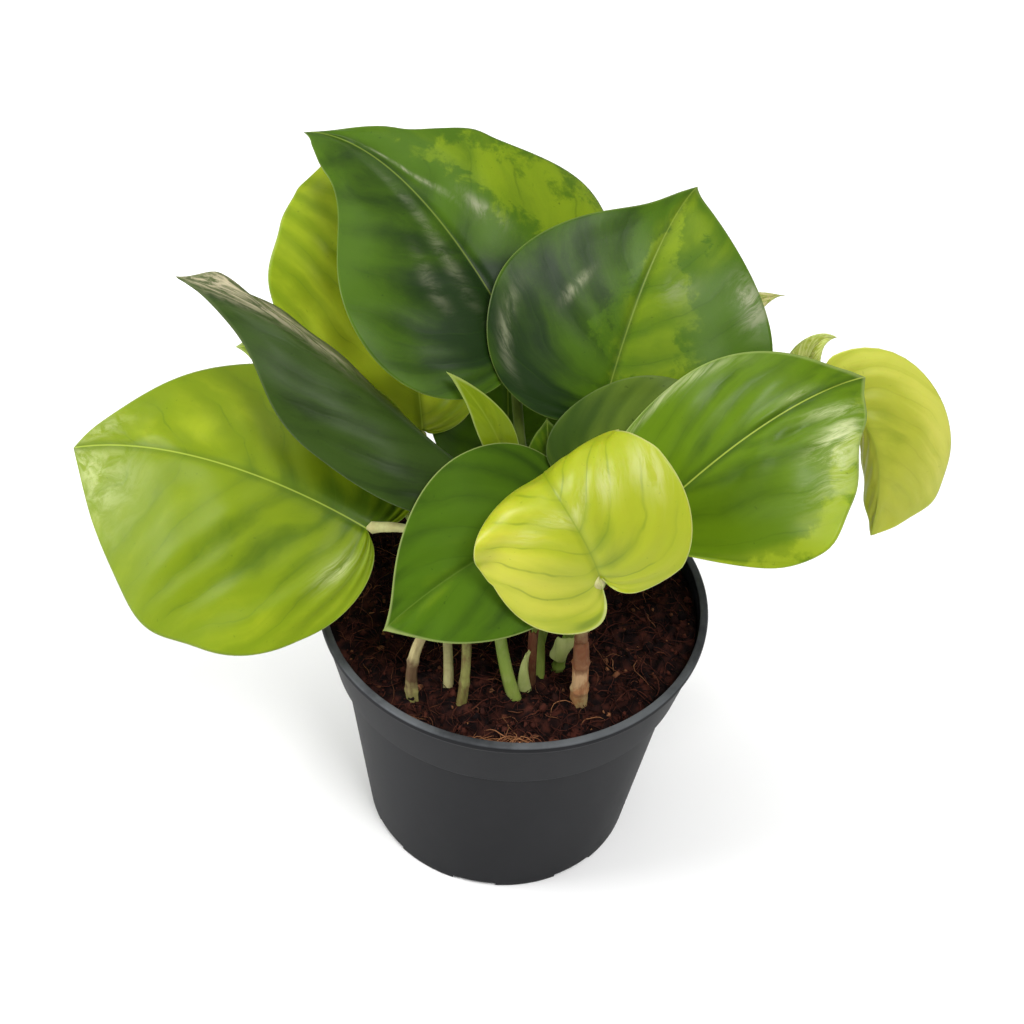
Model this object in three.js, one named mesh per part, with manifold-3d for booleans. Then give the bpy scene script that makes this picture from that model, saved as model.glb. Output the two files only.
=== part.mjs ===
// Potted pothos: leafy cuttings standing in a plastic nursery pot filled with coir soil.
// Millimetres, +Z up. The origin is the middle of the pot's underside, on the table.
// -Y is the side that shows the yellow-lime front leaf.

import * as THREE from 'three';
import { mergeVertices } from 'three/addons/utils/BufferGeometryUtils.js';
import Module from 'manifold-3d';

const wasm = await Module();
wasm.setup();

// Driving dimensions of the pot
const RIM_RADIUS = 60;
const POT_HEIGHT = 92;
const WALL = 1.2;
const BASE_RADIUS = 43.2;
const BODY_TOP_RADIUS = 52.6;
const COLLAR_LOW_RADIUS = 55;
const COLLAR_LOW_Z = 70;
const LIP_WIDTH = 2.6;
const LIP_EDGE = 0.6;
const FOOT_RING_INNER = 40.2;
const FOOT_EDGE = 0.8;
const CHANNEL_INNER = 32;
const CHANNEL_HEIGHT = 3;
const CHANNEL_SLOPE = 0.8;
const POT_SIDES = 48;

const NOTCH = { count: 8, width: 14, height: 1.8, firstAngle: -97 };
const DRAIN = { count: 8, radius: 2.8, ring: 36.2, firstAngle: -74.5, sides: 12 };

// Driving dimensions of the soil, with the clearance that neighbouring pieces keep
const CLEARANCE = 0.3;
const SOIL_TOP = 88;
const SOIL_RELIEF = 1.2;
const SOIL_EDGE_DROP = 2.0;
const SOIL_RINGS = [8, 17, 26, 35, 44, 51];
const FOOT_Z = 79.3;
const HOLE_FLOOR = FOOT_Z - 0.8;
const HOLE_TOP = SOIL_TOP + 8;
const HOLE_SIDES = 10;
const HOLE_PLAY = 0.3;

// Leaf blades and the round sections of petioles and stems
const BLADE_THICKNESS = 0.8;
const LOBE_SHARE = 0.42;
const RIB_POWER = 2.2;
const SWELL_FADE = 0.04;
const PETIOLE_SIDES = 6;
const PETIOLE_STEPS = 9;
const PETIOLE_REACH = 0.3;
const STEM_SIDES = 8;
const STEM_STEPS = 6;

const COLOURS = {
  pot: 0x3b3d40,
  soil: 0x2c1c15,
  darkGreen: 0x3c5a2c,
  midGreen: 0x5c8526,
  brightGreen: 0x86a52c,
  lime: 0xbcc73c,
  olive: 0x7d8a3c,
  brown: 0x6e5238,
};

const ROUGHNESS = { pot: 0.55, soil: 0.95, leaf: 0.35, stem: 0.6 };

// Leaves. `mid` is the midrib's Bezier curve: junction, two handles, tip.
// Pairs are the left and right halves, seen from the junction to the tip with the upper face up.
// half: greatest half width; widest: where it lies, as a share of the midrib; lobe: how far the
// base lobe reaches behind the junction; sinus: how far the lobe stands off the midrib's line there;
// shoulder, full, tipWidth, taper: how full the margin runs;
// swell: stretches where the margin stands out or draws in, each with its side, place, reach and width;
// fold: slope of each half at the midrib, in degrees, at the junction and at the tip;
// curl: turn of each half from midrib to margin, in degrees;
// face and faceTip: where the upper face looks at the junction and at the tip.
// petiole: its foot, the rise and lean of its lower stretch, the handle it arrives from, its radius.
const LEAF_DEFAULTS = {
  half: [28, 28],
  widest: [0.3, 0.3],
  lobe: [14, 14],
  sinus: [0.1, 0.1],
  shoulder: [0.1, 0.1],
  full: [0.55, 0.55],
  tipWidth: [0.3, 0.3],
  taper: [0.22, 0.22],
  fold: [[12, 8], [12, 8]],
  curl: [-10, -10],
  swell: [],
  rows: 12,
  columns: 4,
  colour: COLOURS.midGreen,
};

const LEAVES = {
  leaf_left_large: {
    mid: [[-44, -16, 132], [-70, -8, 142], [-106, 8, 140], [-138, 22, 118]],
    face: [0, -0.45, 0.9],
    half: [53, 44],
    widest: [0.33, 0.28],
    lobe: [11, 11],
    full: [0.5, 0.35],
    tipWidth: [0.95, 0.35],
    taper: [0.4, 0.2],
    fold: [[-5, -5], [0, 0]],
    curl: [-30, -25],
    petiole: {
      foot: [-24.9, -37.5, 113.4],
      rise: 14,
      lean: [4, 3],
      arrive: [30, 2, 6],
      radius: 1.7,
      reach: 3,
    },
    colour: COLOURS.brightGreen,
  },
  leaf_left_folded: {
    mid: [[-15, -8, 150], [-37, -5, 164], [-62, 6, 187], [-101, 15.5, 192.5]],
    face: [0.1, -0.15, 0.95],
    half: [25, 17],
    widest: [0.42, 0.4],
    lobe: [10, 6],
    full: [0.4, 0.5],
    tipWidth: [0.15, 0.3],
    fold: [[5, 0], [-50, -10]],
    curl: [-65, -30],
    swell: [[0, 0.7, 0.16, -4.5], [1, 0.2, 0.09, 5]],
    petiole: { foot: [5.7, -38], rise: 34, lean: [-14, 0], arrive: [10, 0, -14], radius: 1.7 },
    colour: COLOURS.darkGreen,
  },
  leaf_back_left: {
    mid: [[-32, 30, 130], [-37, 47, 161], [-50, 64, 197], [-63, 84, 194]],
    face: [-0.3, -0.5, 0.8],
    half: [36, 24],
    widest: [0.45, 0.3],
    lobe: [5, 2],
    full: [0.8, 0.6],
    tipWidth: [0.7, 0.3],
    fold: [[24, 10], [12, 8]],
    swell: [[0, 0.48, 0.1, 2.6], [0, 0.9, 0.07, 4.5]],
    petiole: { foot: [-17.4, -38.5], rise: 30, lean: [2, 6], arrive: [2, -8, -20], radius: 1.3 },
    colour: COLOURS.brightGreen,
  },
  leaf_top_large: {
    mid: [[-6, 20, 178], [-24, 36, 200], [-48, 60, 216], [-73, 74, 204]],
    face: [0, -0.35, 0.93],
    half: [41, 41],
    widest: [0.22, 0.14],
    lobe: [12, 10],
    full: [0.4, 0.6],
    tipWidth: [0.3, 0.05],
    taper: [0.5, 0.4],
    curl: [-10, -36],
    swell: [[1, 0.47, 0.08, 7], [1, 0.67, 0.04, 2.5], [1, 0.77, 0.04, -1.5], [0, 0.88, 0.1, 2.5]],
    petiole: { foot: [8.9, -30], rise: 40, lean: [1, 6], arrive: [2, -6, -38], radius: 1.7 },
    colour: COLOURS.midGreen,
  },
  leaf_right_large: {
    mid: [[21, 8, 165], [26, 24, 188], [34, 44, 207], [43, 60, 206]],
    face: [0.1, -0.5, 0.85],
    half: [40, 42],
    widest: [0.3, 0.32],
    lobe: [9, 8],
    full: [0.4, 0.45],
    tipWidth: [0.15, 0.05],
    taper: [0.35, 0.1],
    petiole: { foot: [10, -6], rise: 40, lean: [2, 6], arrive: [0, 2, -40], radius: 1.7 },
    colour: COLOURS.midGreen,
  },
  leaf_right_front: {
    mid: [[27, -26, 140], [48, -16, 168], [72, -2, 184], [93, 12, 180]],
    face: [0, -0.5, 0.85],
    half: [24, 34],
    widest: [0.5, 0.5],
    lobe: [3, 3],
    shoulder: [0.1, 0.35],
    full: [0.6, 0.9],
    tipWidth: [0.2, 0.3],
    taper: [0.2, 0.15],
    swell: [
      [1, 0.65, 0.11, -7],
      [1, 0.44, 0.06, 5],
      [1, 0.23, 0.09, -11],
      [1, 0.82, 0.1, -3.5],
      [0, 0.72, 0.15, -2.2],
    ],
    petiole: { foot: [22, -8], rise: 24, lean: [0, 0], arrive: [-1, 8, -20], radius: 1.6 },
    colour: COLOURS.midGreen,
  },
  leaf_front_low: {
    mid: [[14, -14, 141], [-3, -30, 148], [-22, -42, 140], [-36, -46, 122]],
    face: [0, -0.6, 0.8],
    half: [25, 28],
    widest: [0.36, 0.33],
    lobe: [6, 4],
    full: [0.65, 0.45],
    tipWidth: [0.1, 0.12],
    taper: [0.1, 0.25],
    petiole: { foot: [7.6, -23], rise: 20, lean: [0, 0], arrive: [2, 4, -24], radius: 1.3 },
    colour: COLOURS.midGreen,
  },
  leaf_middle_dark: {
    mid: [[16, -8, 154], [30, -4, 167], [45, 0, 174], [55, 5, 172]],
    face: [0, -0.6, 0.8],
    half: [17, 12],
    lobe: [8, 6],
    rows: 9,
    columns: 3,
    petiole: { foot: [18, -3], rise: 36, lean: [0, 0], arrive: [0, 6, -24], radius: 1.4 },
    colour: COLOURS.darkGreen,
  },
  leaf_front_lime: {
    mid: [[22, -50, 155], [16.5, -47.3, 171.5], [-2, -37.5, 186], [6, -19, 163]],
    face: [-0.22, -0.84, 0.5],
    faceTip: [-0.54, 0.76, 0.36],
    half: [32, 32],
    widest: [0.34, 0.42],
    lobe: [20, 8],
    sinus: [-0.2, 0.1],
    full: [0.5, 0.6],
    fold: [[6, 0], [6, 0]],
    curl: [-20, -20],
    swell: [[0, 0.26, 0.1, 3], [1, 0.2, 0.08, -2.5], [1, 0.54, 0.07, -6]],
    rows: 18,
    petiole: { foot: [20, -37, 115.3], rise: 10, lean: [-0.9, 0], arrive: [1, 5, -18], radius: 1.5 },
    colour: COLOURS.lime,
  },
  leaf_far_right: {
    mid: [[88, 14, 165], [98, 8, 170], [104, 2, 154], [103, 0, 130]],
    face: [0.3, -0.9, 0.3],
    half: [27, 12],
    widest: [0.42, 0.4],
    lobe: [5, 4],
    full: [0.9, 0.5],
    tipWidth: [0.6, 0.3],
    fold: [[0, 0], [-70, -70]],
    curl: [-30, -40],
    petiole: { foot: [20, 3], rise: 40, lean: [8, 2], arrive: [-16, 0, -14], radius: 1.4 },
    colour: COLOURS.olive,
  },
  leaf_far_right_young: {
    mid: [[81, 22, 158], [77, 23, 170], [77, 24, 185], [85, 23, 184.5]],
    face: [-0.5, -0.8, 0.2],
    half: [7, 6],
    lobe: [1, 1],
    fold: [[30, 30], [30, 30]],
    rows: 8,
    columns: 2,
    petiole: { foot: [24, 10], rise: 36, lean: [6, 4], arrive: [-8, 4, -16], radius: 1.1 },
    colour: COLOURS.brightGreen,
  },
  leaf_centre_young: {
    mid: [[-5, -2, 148], [-8.5, -3, 162], [-16, -3, 176], [-24, -1, 180.5]],
    face: [0.35, -0.8, 0.5],
    half: [5, 5.5],
    widest: [0.32, 0.32],
    lobe: [2, 2],
    full: [0.3, 0.3],
    tipWidth: [0.25, 0.25],
    rows: 8,
    columns: 2,
    petiole: { foot: [-4, -12], rise: 30, lean: [0, 0], arrive: [2, 0, -20], radius: 1.2 },
    colour: COLOURS.brightGreen,
  },
  leaf_back_right: {
    mid: [[30, 20, 153], [42, 26, 172], [58, 34, 189], [71, 41, 184]],
    face: [0.2, -0.5, 0.8],
    half: [16, 16],
    lobe: [6, 6],
    full: [0.3, 0.3],
    tipWidth: [0.05, 0.05],
    taper: [0.5, 0.5],
    rows: 9,
    columns: 3,
    petiole: { foot: [18, 12], rise: 30, lean: [0, 0], arrive: [-2, 0, -20], radius: 1.3 },
    colour: COLOURS.brightGreen,
  },
  leaf_centre_shade: {
    mid: [[7, 0, 140], [7, 1, 148], [6, 2, 155], [5, 4, 162]],
    face: [0, -0.8, 0.6],
    half: [7, 7],
    lobe: [3, 3],
    rows: 8,
    columns: 2,
    petiole: { foot: [2, -4], rise: 30, lean: [0, 0], arrive: [0, 0, -20], radius: 1.2 },
    colour: COLOURS.olive,
  },
  leaf_low_back_left: {
    mid: [[-50, 32, 120], [-62, 39, 134], [-78, 47, 146], [-92, 51, 139]],
    face: [-0.2, -0.5, 0.85],
    half: [12, 12],
    lobe: [5, 5],
    rows: 9,
    columns: 3,
    petiole: { foot: [-22, 2], rise: 28, lean: [-1, 1], arrive: [8, -6, -12], radius: 1.3 },
    colour: COLOURS.brightGreen,
  },
  leaf_rear_left: {
    mid: [[-6, 38, 126], [-8, 56, 146], [-12, 82, 144], [-14, 102, 120]],
    face: [0, 0.3, 0.95],
    half: [30, 25],
    lobe: [22, 10],
    rows: 11,
    columns: 3,
    petiole: { foot: [-8, 12], rise: 20, lean: [0, 0], arrive: [0, -6, -16], radius: 1.5 },
    colour: COLOURS.midGreen,
  },
  leaf_rear_right: {
    mid: [[32, 32, 132], [42, 48, 148], [54, 68, 146], [66, 84, 124]],
    face: [0.2, 0.3, 0.95],
    half: [23, 23],
    lobe: [9, 9],
    rows: 11,
    columns: 3,
    petiole: { foot: [10, 14], rise: 20, lean: [0, 0], arrive: [-6, -6, -16], radius: 1.4 },
    colour: COLOURS.midGreen,
  },
};

// Stems that end above the soil: Bezier points of the centre line and radius
const STEMS = {
  stem_left_brown: {
    line: [[-25.7, -42, FOOT_Z], [-29, -41, 95], [-28.5, -40, 105], [-25, -37.6, 113]],
    radius: 2.1,
    colour: COLOURS.brown,
  },
  stem_left_olive: {
    line: [[-14, -42.5, FOOT_Z], [-12, -42, 92], [-12, -38, 104], [-13, -34, 112]],
    radius: 1.9,
    colour: COLOURS.olive,
  },
  stem_middle_sheath: {
    line: [[14.3, -24.5, FOOT_Z], [14.5, -25, 90], [16, -25, 98], [17.5, -25, 106]],
    radius: 2.2,
    colour: COLOURS.brightGreen,
  },
  stem_stub_right: {
    line: [[21.8, -37, FOOT_Z], [21.6, -37, 92], [21, -37, 104], [20, -37, 115]],
    radius: 3.1,
    colour: COLOURS.brown,
  },
};

for (const [name, values] of Object.entries(LEAVES)) {
  LEAVES[name] = { ...LEAF_DEFAULTS, ...values };
}

const vector = (values) => new THREE.Vector3(values[0], values[1], values[2]);
const radians = THREE.MathUtils.degToRad;
const mix = THREE.MathUtils.lerp;

function cubic(points, t) {
  const r = 1 - t;
  const weights = [r * r * r, 3 * r * r * t, 3 * r * t * t, t * t * t];
  return points.reduce((sum, value, i) => sum + value * weights[i], 0);
}

function solidFrom(geometry) {
  const bare = geometry.clone();
  bare.deleteAttribute('normal');
  bare.deleteAttribute('uv');
  const merged = mergeVertices(bare, 1e-5);
  const vertProperties = new Float32Array(merged.attributes.position.array);
  const triVerts = new Uint32Array(merged.index.array);
  return new wasm.Manifold(new wasm.Mesh({ numProp: 3, vertProperties, triVerts }));
}

function signedVolume(geometry) {
  const position = geometry.attributes.position;
  const index = geometry.index;
  const count = index ? index.count : position.count;
  const corner = (i) => new THREE.Vector3().fromBufferAttribute(position, index ? index.getX(i) : i);
  let volume = 0;
  for (let i = 0; i < count; i += 3) {
    volume += corner(i).dot(corner(i + 1).cross(corner(i + 2))) / 6;
  }
  return volume;
}

function turnedOutward(geometry) {
  if (signedVolume(geometry) > 0) {
    return geometry;
  }
  const flipped = mergeVertices(geometry, 1e-5);
  const index = flipped.index.array;
  for (let i = 0; i < index.length; i += 3) {
    [index[i + 1], index[i + 2]] = [index[i + 2], index[i + 1]];
  }
  return flipped;
}

// Width that the swells add at a place on the margin, fading out at junction and tip
function swellAt(leaf, side, s) {
  const fade = Math.min(1, s / SWELL_FADE) * Math.min(1, (1 - s) / SWELL_FADE);
  const bell = ([, place, reach, width]) => width * Math.exp(-(((s - place) / reach) ** 2));
  const swells = leaf.swell.filter((swell) => swell[0] === side);
  return fade * swells.reduce((sum, swell) => sum + bell(swell), 0);
}

// Margin of one half blade: distance along the midrib and width, for s from junction to tip
function marginPoint(leaf, side, length, s) {
  const half = leaf.half[side];
  const widest = leaf.widest[side] * length;
  const lobe = leaf.lobe[side];
  if (s <= LOBE_SHARE) {
    const t = s / LOBE_SHARE;
    const along = [0, -1.5 * lobe, -1.2 * lobe + leaf.shoulder[side] * widest, widest];
    const low = cubic([0.8, leaf.sinus[side] * half, half, half], t);
    return [cubic(along, t), low + swellAt(leaf, side, s)];
  }
  const t = (s - LOBE_SHARE) / (1 - LOBE_SHARE);
  const rest = length - widest;
  const along = [widest, widest + leaf.full[side] * rest, length - leaf.taper[side] * rest, length];
  const high = cubic([half, half, leaf.tipWidth[side] * half, 0], t);
  return [cubic(along, t), high + swellAt(leaf, side, s)];
}

// Point of the blade's middle surface and its unit normal; v runs from -1 (left) to 1 (right)
function bladePoint(leaf, midrib, length, s, v) {
  const side = v < 0 ? 0 : 1;
  const sign = v < 0 ? -1 : 1;
  const t = Math.abs(v);
  const rib = length * Math.pow(s, RIB_POWER);
  const [marginAlong, marginWidth] = marginPoint(leaf, side, length, s);
  const along = mix(rib, marginAlong, t);
  const width = marginWidth * t;
  const share = THREE.MathUtils.clamp(along / length, 0, 1);
  const origin = midrib.getPointAt(share);
  const forward = midrib.getTangentAt(share);
  origin.addScaledVector(forward, Math.min(along, 0));
  const start = vector(leaf.face).normalize();
  const end = vector(leaf.faceTip ?? leaf.face).normalize();
  const face = start.lerp(end, share);
  const across = new THREE.Vector3().crossVectors(forward, face).normalize();
  const up = new THREE.Vector3().crossVectors(across, forward);
  const slope = radians(mix(leaf.fold[side][0], leaf.fold[side][1], share));
  const bend = radians(leaf.curl[side]) / leaf.half[side];
  const outward = (Math.sin(slope + bend * width) - Math.sin(slope)) / bend;
  const rise = (Math.cos(slope) - Math.cos(slope + bend * width)) / bend;
  const point = origin.addScaledVector(across, sign * outward).addScaledVector(up, rise);
  const angle = slope + bend * width;
  const normal = up.multiplyScalar(Math.cos(angle));
  normal.addScaledVector(across, -sign * Math.sin(angle)).normalize();
  return { point, normal };
}

// Closed blade: equal triangles on the upper and lower faces, joined all round the margin
function bladeGeometry(leaf) {
  const midrib = new THREE.CubicBezierCurve3(...leaf.mid.map(vector));
  const length = midrib.getLength();
  const across = 2 * leaf.columns + 1;
  const positions = [];
  const triangles = [];
  const place = (s, v) => {
    const { point, normal } = bladePoint(leaf, midrib, length, s, v);
    for (const offset of [BLADE_THICKNESS / 2, -BLADE_THICKNESS / 2]) {
      positions.push(...point.clone().addScaledVector(normal, offset).toArray());
    }
    return positions.length / 6 - 1;
  };
  const face = (a, b, c) => {
    triangles.push(2 * a, 2 * b, 2 * c, 2 * a + 1, 2 * c + 1, 2 * b + 1);
  };
  const edge = (a, b) => {
    triangles.push(2 * a, 2 * a + 1, 2 * b + 1, 2 * a, 2 * b + 1, 2 * b);
  };
  const junction = place(0, 0);
  const grid = [];
  for (let row = 1; row < leaf.rows; row += 1) {
    const line = [];
    for (let column = 0; column < across; column += 1) {
      line.push(place(row / leaf.rows, (column - leaf.columns) / leaf.columns));
    }
    grid.push(line);
  }
  const tip = place(1, 0);
  const first = grid[0];
  const last = grid[grid.length - 1];
  for (let column = 0; column + 1 < across; column += 1) {
    face(junction, first[column + 1], first[column]);
    face(tip, last[column], last[column + 1]);
  }
  for (let row = 0; row + 1 < grid.length; row += 1) {
    for (let column = 0; column + 1 < across; column += 1) {
      const near = grid[row];
      const far = grid[row + 1];
      face(near[column], near[column + 1], far[column + 1]);
      face(near[column], far[column + 1], far[column]);
    }
  }
  const left = [junction, ...grid.map((line) => line[0]), tip];
  const right = [tip, ...grid.map((line) => line[across - 1]).reverse(), junction];
  for (const rim of [left, right]) {
    for (let i = 0; i + 1 < rim.length; i += 1) {
      edge(rim[i + 1], rim[i]);
    }
  }
  const geometry = new THREE.BufferGeometry();
  geometry.setAttribute('position', new THREE.Float32BufferAttribute(positions, 3));
  geometry.setIndex(triangles);
  return turnedOutward(geometry);
}

function rodGeometry(curve, radius, sides, steps) {
  const section = new THREE.Shape();
  for (let i = 0; i < sides; i += 1) {
    const angle = (2 * Math.PI * i) / sides;
    const x = radius * Math.cos(angle);
    const y = radius * Math.sin(angle);
    if (i === 0) {
      section.moveTo(x, y);
    } else {
      section.lineTo(x, y);
    }
  }
  section.closePath();
  const rod = new THREE.ExtrudeGeometry(section, {
    steps,
    curveSegments: 1,
    bevelEnabled: false,
    extrudePath: curve,
  });
  return turnedOutward(rod);
}

function footOf(petiole) {
  return new THREE.Vector3(petiole.foot[0], petiole.foot[1], petiole.foot[2] ?? FOOT_Z);
}

function petioleCurve(leaf) {
  const foot = footOf(leaf.petiole);
  const junction = vector(leaf.mid[0]);
  const arrival = vector(leaf.petiole.arrive);
  const low = foot.clone();
  low.x += leaf.petiole.lean[0];
  low.y += leaf.petiole.lean[1];
  low.z += leaf.petiole.rise;
  const reach = leaf.petiole.reach ?? PETIOLE_REACH;
  const end = junction.clone().addScaledVector(arrival.clone().normalize(), -reach);
  return new THREE.CubicBezierCurve3(foot, low, junction.clone().add(arrival), end);
}

function leafSolid(leaf) {
  const blade = solidFrom(bladeGeometry(leaf));
  const rod = rodGeometry(petioleCurve(leaf), leaf.petiole.radius, PETIOLE_SIDES, PETIOLE_STEPS);
  return blade.add(solidFrom(rod));
}

function stemCurve(stem) {
  return new THREE.CubicBezierCurve3(...stem.line.map(vector));
}

function lathe(profile, sides) {
  const points = profile.map(([radius, z]) => new THREE.Vector2(radius, z));
  const geometry = new THREE.LatheGeometry(points, sides);
  geometry.rotateX(Math.PI / 2);
  return turnedOutward(geometry);
}

// Inner wall radius at a height, outside the lip
function innerRadius(z) {
  if (z > COLLAR_LOW_Z) {
    const share = (z - COLLAR_LOW_Z) / (POT_HEIGHT - COLLAR_LOW_Z);
    return mix(COLLAR_LOW_RADIUS, RIM_RADIUS - LIP_EDGE, share) - WALL;
  }
  return mix(BASE_RADIUS, BODY_TOP_RADIUS, z / COLLAR_LOW_Z) - WALL;
}

function potSolid() {
  const floor = CHANNEL_HEIGHT + WALL;
  const lipLow = POT_HEIGHT - LIP_WIDTH;
  const profile = [
    [0, 0],
    [CHANNEL_INNER, 0],
    [CHANNEL_INNER + CHANNEL_SLOPE, CHANNEL_HEIGHT],
    [FOOT_RING_INNER - CHANNEL_SLOPE, CHANNEL_HEIGHT],
    [FOOT_RING_INNER, 0],
    [BASE_RADIUS - FOOT_EDGE, 0],
    [BASE_RADIUS, FOOT_EDGE],
    [BODY_TOP_RADIUS, COLLAR_LOW_Z - FOOT_EDGE],
    [COLLAR_LOW_RADIUS, COLLAR_LOW_Z],
    [RIM_RADIUS - LIP_EDGE, lipLow],
    [RIM_RADIUS, lipLow + LIP_EDGE],
    [RIM_RADIUS, POT_HEIGHT - LIP_EDGE],
    [RIM_RADIUS - LIP_EDGE, POT_HEIGHT],
    [RIM_RADIUS - LIP_WIDTH + LIP_EDGE, POT_HEIGHT],
    [RIM_RADIUS - LIP_WIDTH, POT_HEIGHT - LIP_EDGE],
    [innerRadius(lipLow - WALL), lipLow - WALL],
    [innerRadius(COLLAR_LOW_Z + WALL), COLLAR_LOW_Z + WALL],
    [innerRadius(COLLAR_LOW_Z - WALL), COLLAR_LOW_Z - WALL],
    [innerRadius(floor), floor],
    [CHANNEL_INNER - WALL + CHANNEL_SLOPE, floor],
    [CHANNEL_INNER - WALL, WALL],
    [0, WALL],
  ];
  let pot = solidFrom(lathe(profile, POT_SIDES));
  for (let i = 0; i < NOTCH.count; i += 1) {
    const angle = radians(NOTCH.firstAngle + (360 * i) / NOTCH.count);
    const middle = (FOOT_RING_INNER + BASE_RADIUS) / 2;
    const notch = new THREE.BoxGeometry(2 * (BASE_RADIUS - FOOT_RING_INNER), NOTCH.width, 2 * NOTCH.height);
    notch.translate(middle, 0, 0);
    notch.rotateZ(angle);
    pot = pot.subtract(solidFrom(notch));
  }
  for (let i = 0; i < DRAIN.count; i += 1) {
    const angle = radians(DRAIN.firstAngle + (360 * i) / DRAIN.count);
    const drain = new THREE.CylinderGeometry(DRAIN.radius, DRAIN.radius, 4 * CHANNEL_HEIGHT, DRAIN.sides);
    drain.rotateX(Math.PI / 2);
    drain.translate(DRAIN.ring * Math.cos(angle), DRAIN.ring * Math.sin(angle), CHANNEL_HEIGHT);
    pot = pot.subtract(solidFrom(drain));
  }
  return pot;
}

// Height that uneven crumbs add to the soil's top
function soilRelief(x, y) {
  const long = Math.sin(0.11 * x + 0.6) * Math.cos(0.13 * y - 0.4);
  const short = Math.sin(0.29 * x - 0.21 * y + 1.3);
  return SOIL_RELIEF * (0.6 * long + 0.4 * short);
}

function soilSolid() {
  const floor = CHANNEL_HEIGHT + WALL + CLEARANCE;
  const edgeZ = SOIL_TOP - SOIL_EDGE_DROP;
  const side = (z) => innerRadius(z) - CLEARANCE;
  const profile = [
    [0, WALL + CLEARANCE],
    [CHANNEL_INNER - WALL - CLEARANCE, WALL + CLEARANCE],
    [CHANNEL_INNER - WALL + CHANNEL_SLOPE - CLEARANCE, floor],
    [side(floor), floor],
    [side(COLLAR_LOW_Z - WALL), COLLAR_LOW_Z - WALL],
    [side(COLLAR_LOW_Z + WALL), COLLAR_LOW_Z + WALL],
    [side(edgeZ), edgeZ],
    ...SOIL_RINGS.map((radius) => [radius, SOIL_TOP]).reverse(),
    [0, SOIL_TOP],
  ];
  const geometry = lathe(profile, POT_SIDES);
  const position = geometry.attributes.position;
  for (let i = 0; i < position.count; i += 1) {
    if (position.getZ(i) > edgeZ + CLEARANCE) {
      position.setZ(i, SOIL_TOP + soilRelief(position.getX(i), position.getY(i)));
    }
  }
  let soil = solidFrom(geometry);
  const rods = Object.values(STEMS).map((stem) => ({ curve: stemCurve(stem), radius: stem.radius }));
  for (const leaf of Object.values(LEAVES)) {
    if (leaf.petiole.foot.length === 2) {
      rods.push({ curve: petioleCurve(leaf), radius: leaf.petiole.radius });
    }
  }
  for (const rod of rods) {
    soil = soil.subtract(solidFrom(holeGeometry(rod.curve, rod.radius)));
  }
  return soil;
}

// Straight hole round a rod's foot, leaning as the rod leans between its foot and the soil's top
function holeGeometry(curve, radius) {
  const foot = curve.getPoint(0);
  let t = 0;
  while (curve.getPoint(t).z < SOIL_TOP) {
    t += 0.005;
  }
  const lean = curve.getPoint(t).sub(foot);
  const wide = (radius + CLEARANCE) / Math.cos(Math.PI / HOLE_SIDES) + HOLE_PLAY;
  const height = HOLE_TOP - HOLE_FLOOR;
  const hole = new THREE.CylinderGeometry(wide, wide, height, HOLE_SIDES);
  hole.rotateX(Math.PI / 2);
  hole.translate(0, 0, height / 2);
  const slope = new THREE.Matrix4().set(
    1, 0, lean.x / lean.z, foot.x,
    0, 1, lean.y / lean.z, foot.y,
    0, 0, 1, HOLE_FLOOR,
    0, 0, 0, 1,
  );
  hole.applyMatrix4(slope);
  return hole;
}

function meshFrom(name, solid, colour, roughness) {
  const data = solid.getMesh();
  const geometry = new THREE.BufferGeometry();
  geometry.setAttribute('position', new THREE.Float32BufferAttribute(data.vertProperties, 3));
  geometry.setIndex(Array.from(data.triVerts));
  geometry.computeVertexNormals();
  const material = new THREE.MeshStandardMaterial({ color: colour, roughness, metalness: 0 });
  const mesh = new THREE.Mesh(geometry, material);
  mesh.name = name;
  return mesh;
}

const group = new THREE.Group();
group.name = 'potted_pothos';
group.add(meshFrom('pot', potSolid(), COLOURS.pot, ROUGHNESS.pot));
group.add(meshFrom('soil', soilSolid(), COLOURS.soil, ROUGHNESS.soil));
for (const [name, stem] of Object.entries(STEMS)) {
  const rod = rodGeometry(stemCurve(stem), stem.radius, STEM_SIDES, STEM_STEPS);
  group.add(meshFrom(name, solidFrom(rod), stem.colour, ROUGHNESS.stem));
}
for (const [name, values] of Object.entries(LEAVES)) {
  group.add(meshFrom(name, leafSolid(values), values.colour, ROUGHNESS.leaf));
}

export default group;
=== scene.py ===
"""Potted pothos: a leafy young plant in a plastic nursery pot, dressed around its CAD frame.

Sizes are in millimetres in the classes and become metres when a mesh is made. The pot stands on
Z = 0 with its middle at the origin, and -Y is the side with the yellow-lime front leaf.
"""

import logging
import math
from dataclasses import dataclass, field, replace
from enum import Enum

import bpy
import numpy as np
from mathutils import Matrix, Vector


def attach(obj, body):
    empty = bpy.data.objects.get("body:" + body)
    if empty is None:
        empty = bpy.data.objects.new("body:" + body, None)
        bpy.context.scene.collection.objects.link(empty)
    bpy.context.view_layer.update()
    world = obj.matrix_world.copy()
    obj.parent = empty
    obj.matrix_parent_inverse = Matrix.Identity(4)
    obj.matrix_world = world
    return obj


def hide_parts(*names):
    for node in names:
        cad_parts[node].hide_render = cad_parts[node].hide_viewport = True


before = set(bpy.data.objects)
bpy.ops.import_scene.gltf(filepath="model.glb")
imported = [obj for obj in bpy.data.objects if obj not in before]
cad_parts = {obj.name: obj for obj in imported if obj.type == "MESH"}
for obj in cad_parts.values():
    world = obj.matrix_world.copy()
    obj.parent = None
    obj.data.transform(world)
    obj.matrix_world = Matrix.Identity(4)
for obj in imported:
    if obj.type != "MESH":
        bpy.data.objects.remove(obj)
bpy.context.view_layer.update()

LOG = logging.getLogger("potted_pothos")
METRE = 0.001
Colour = tuple[float, float, float]
Pair = tuple[float, float]
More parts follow.
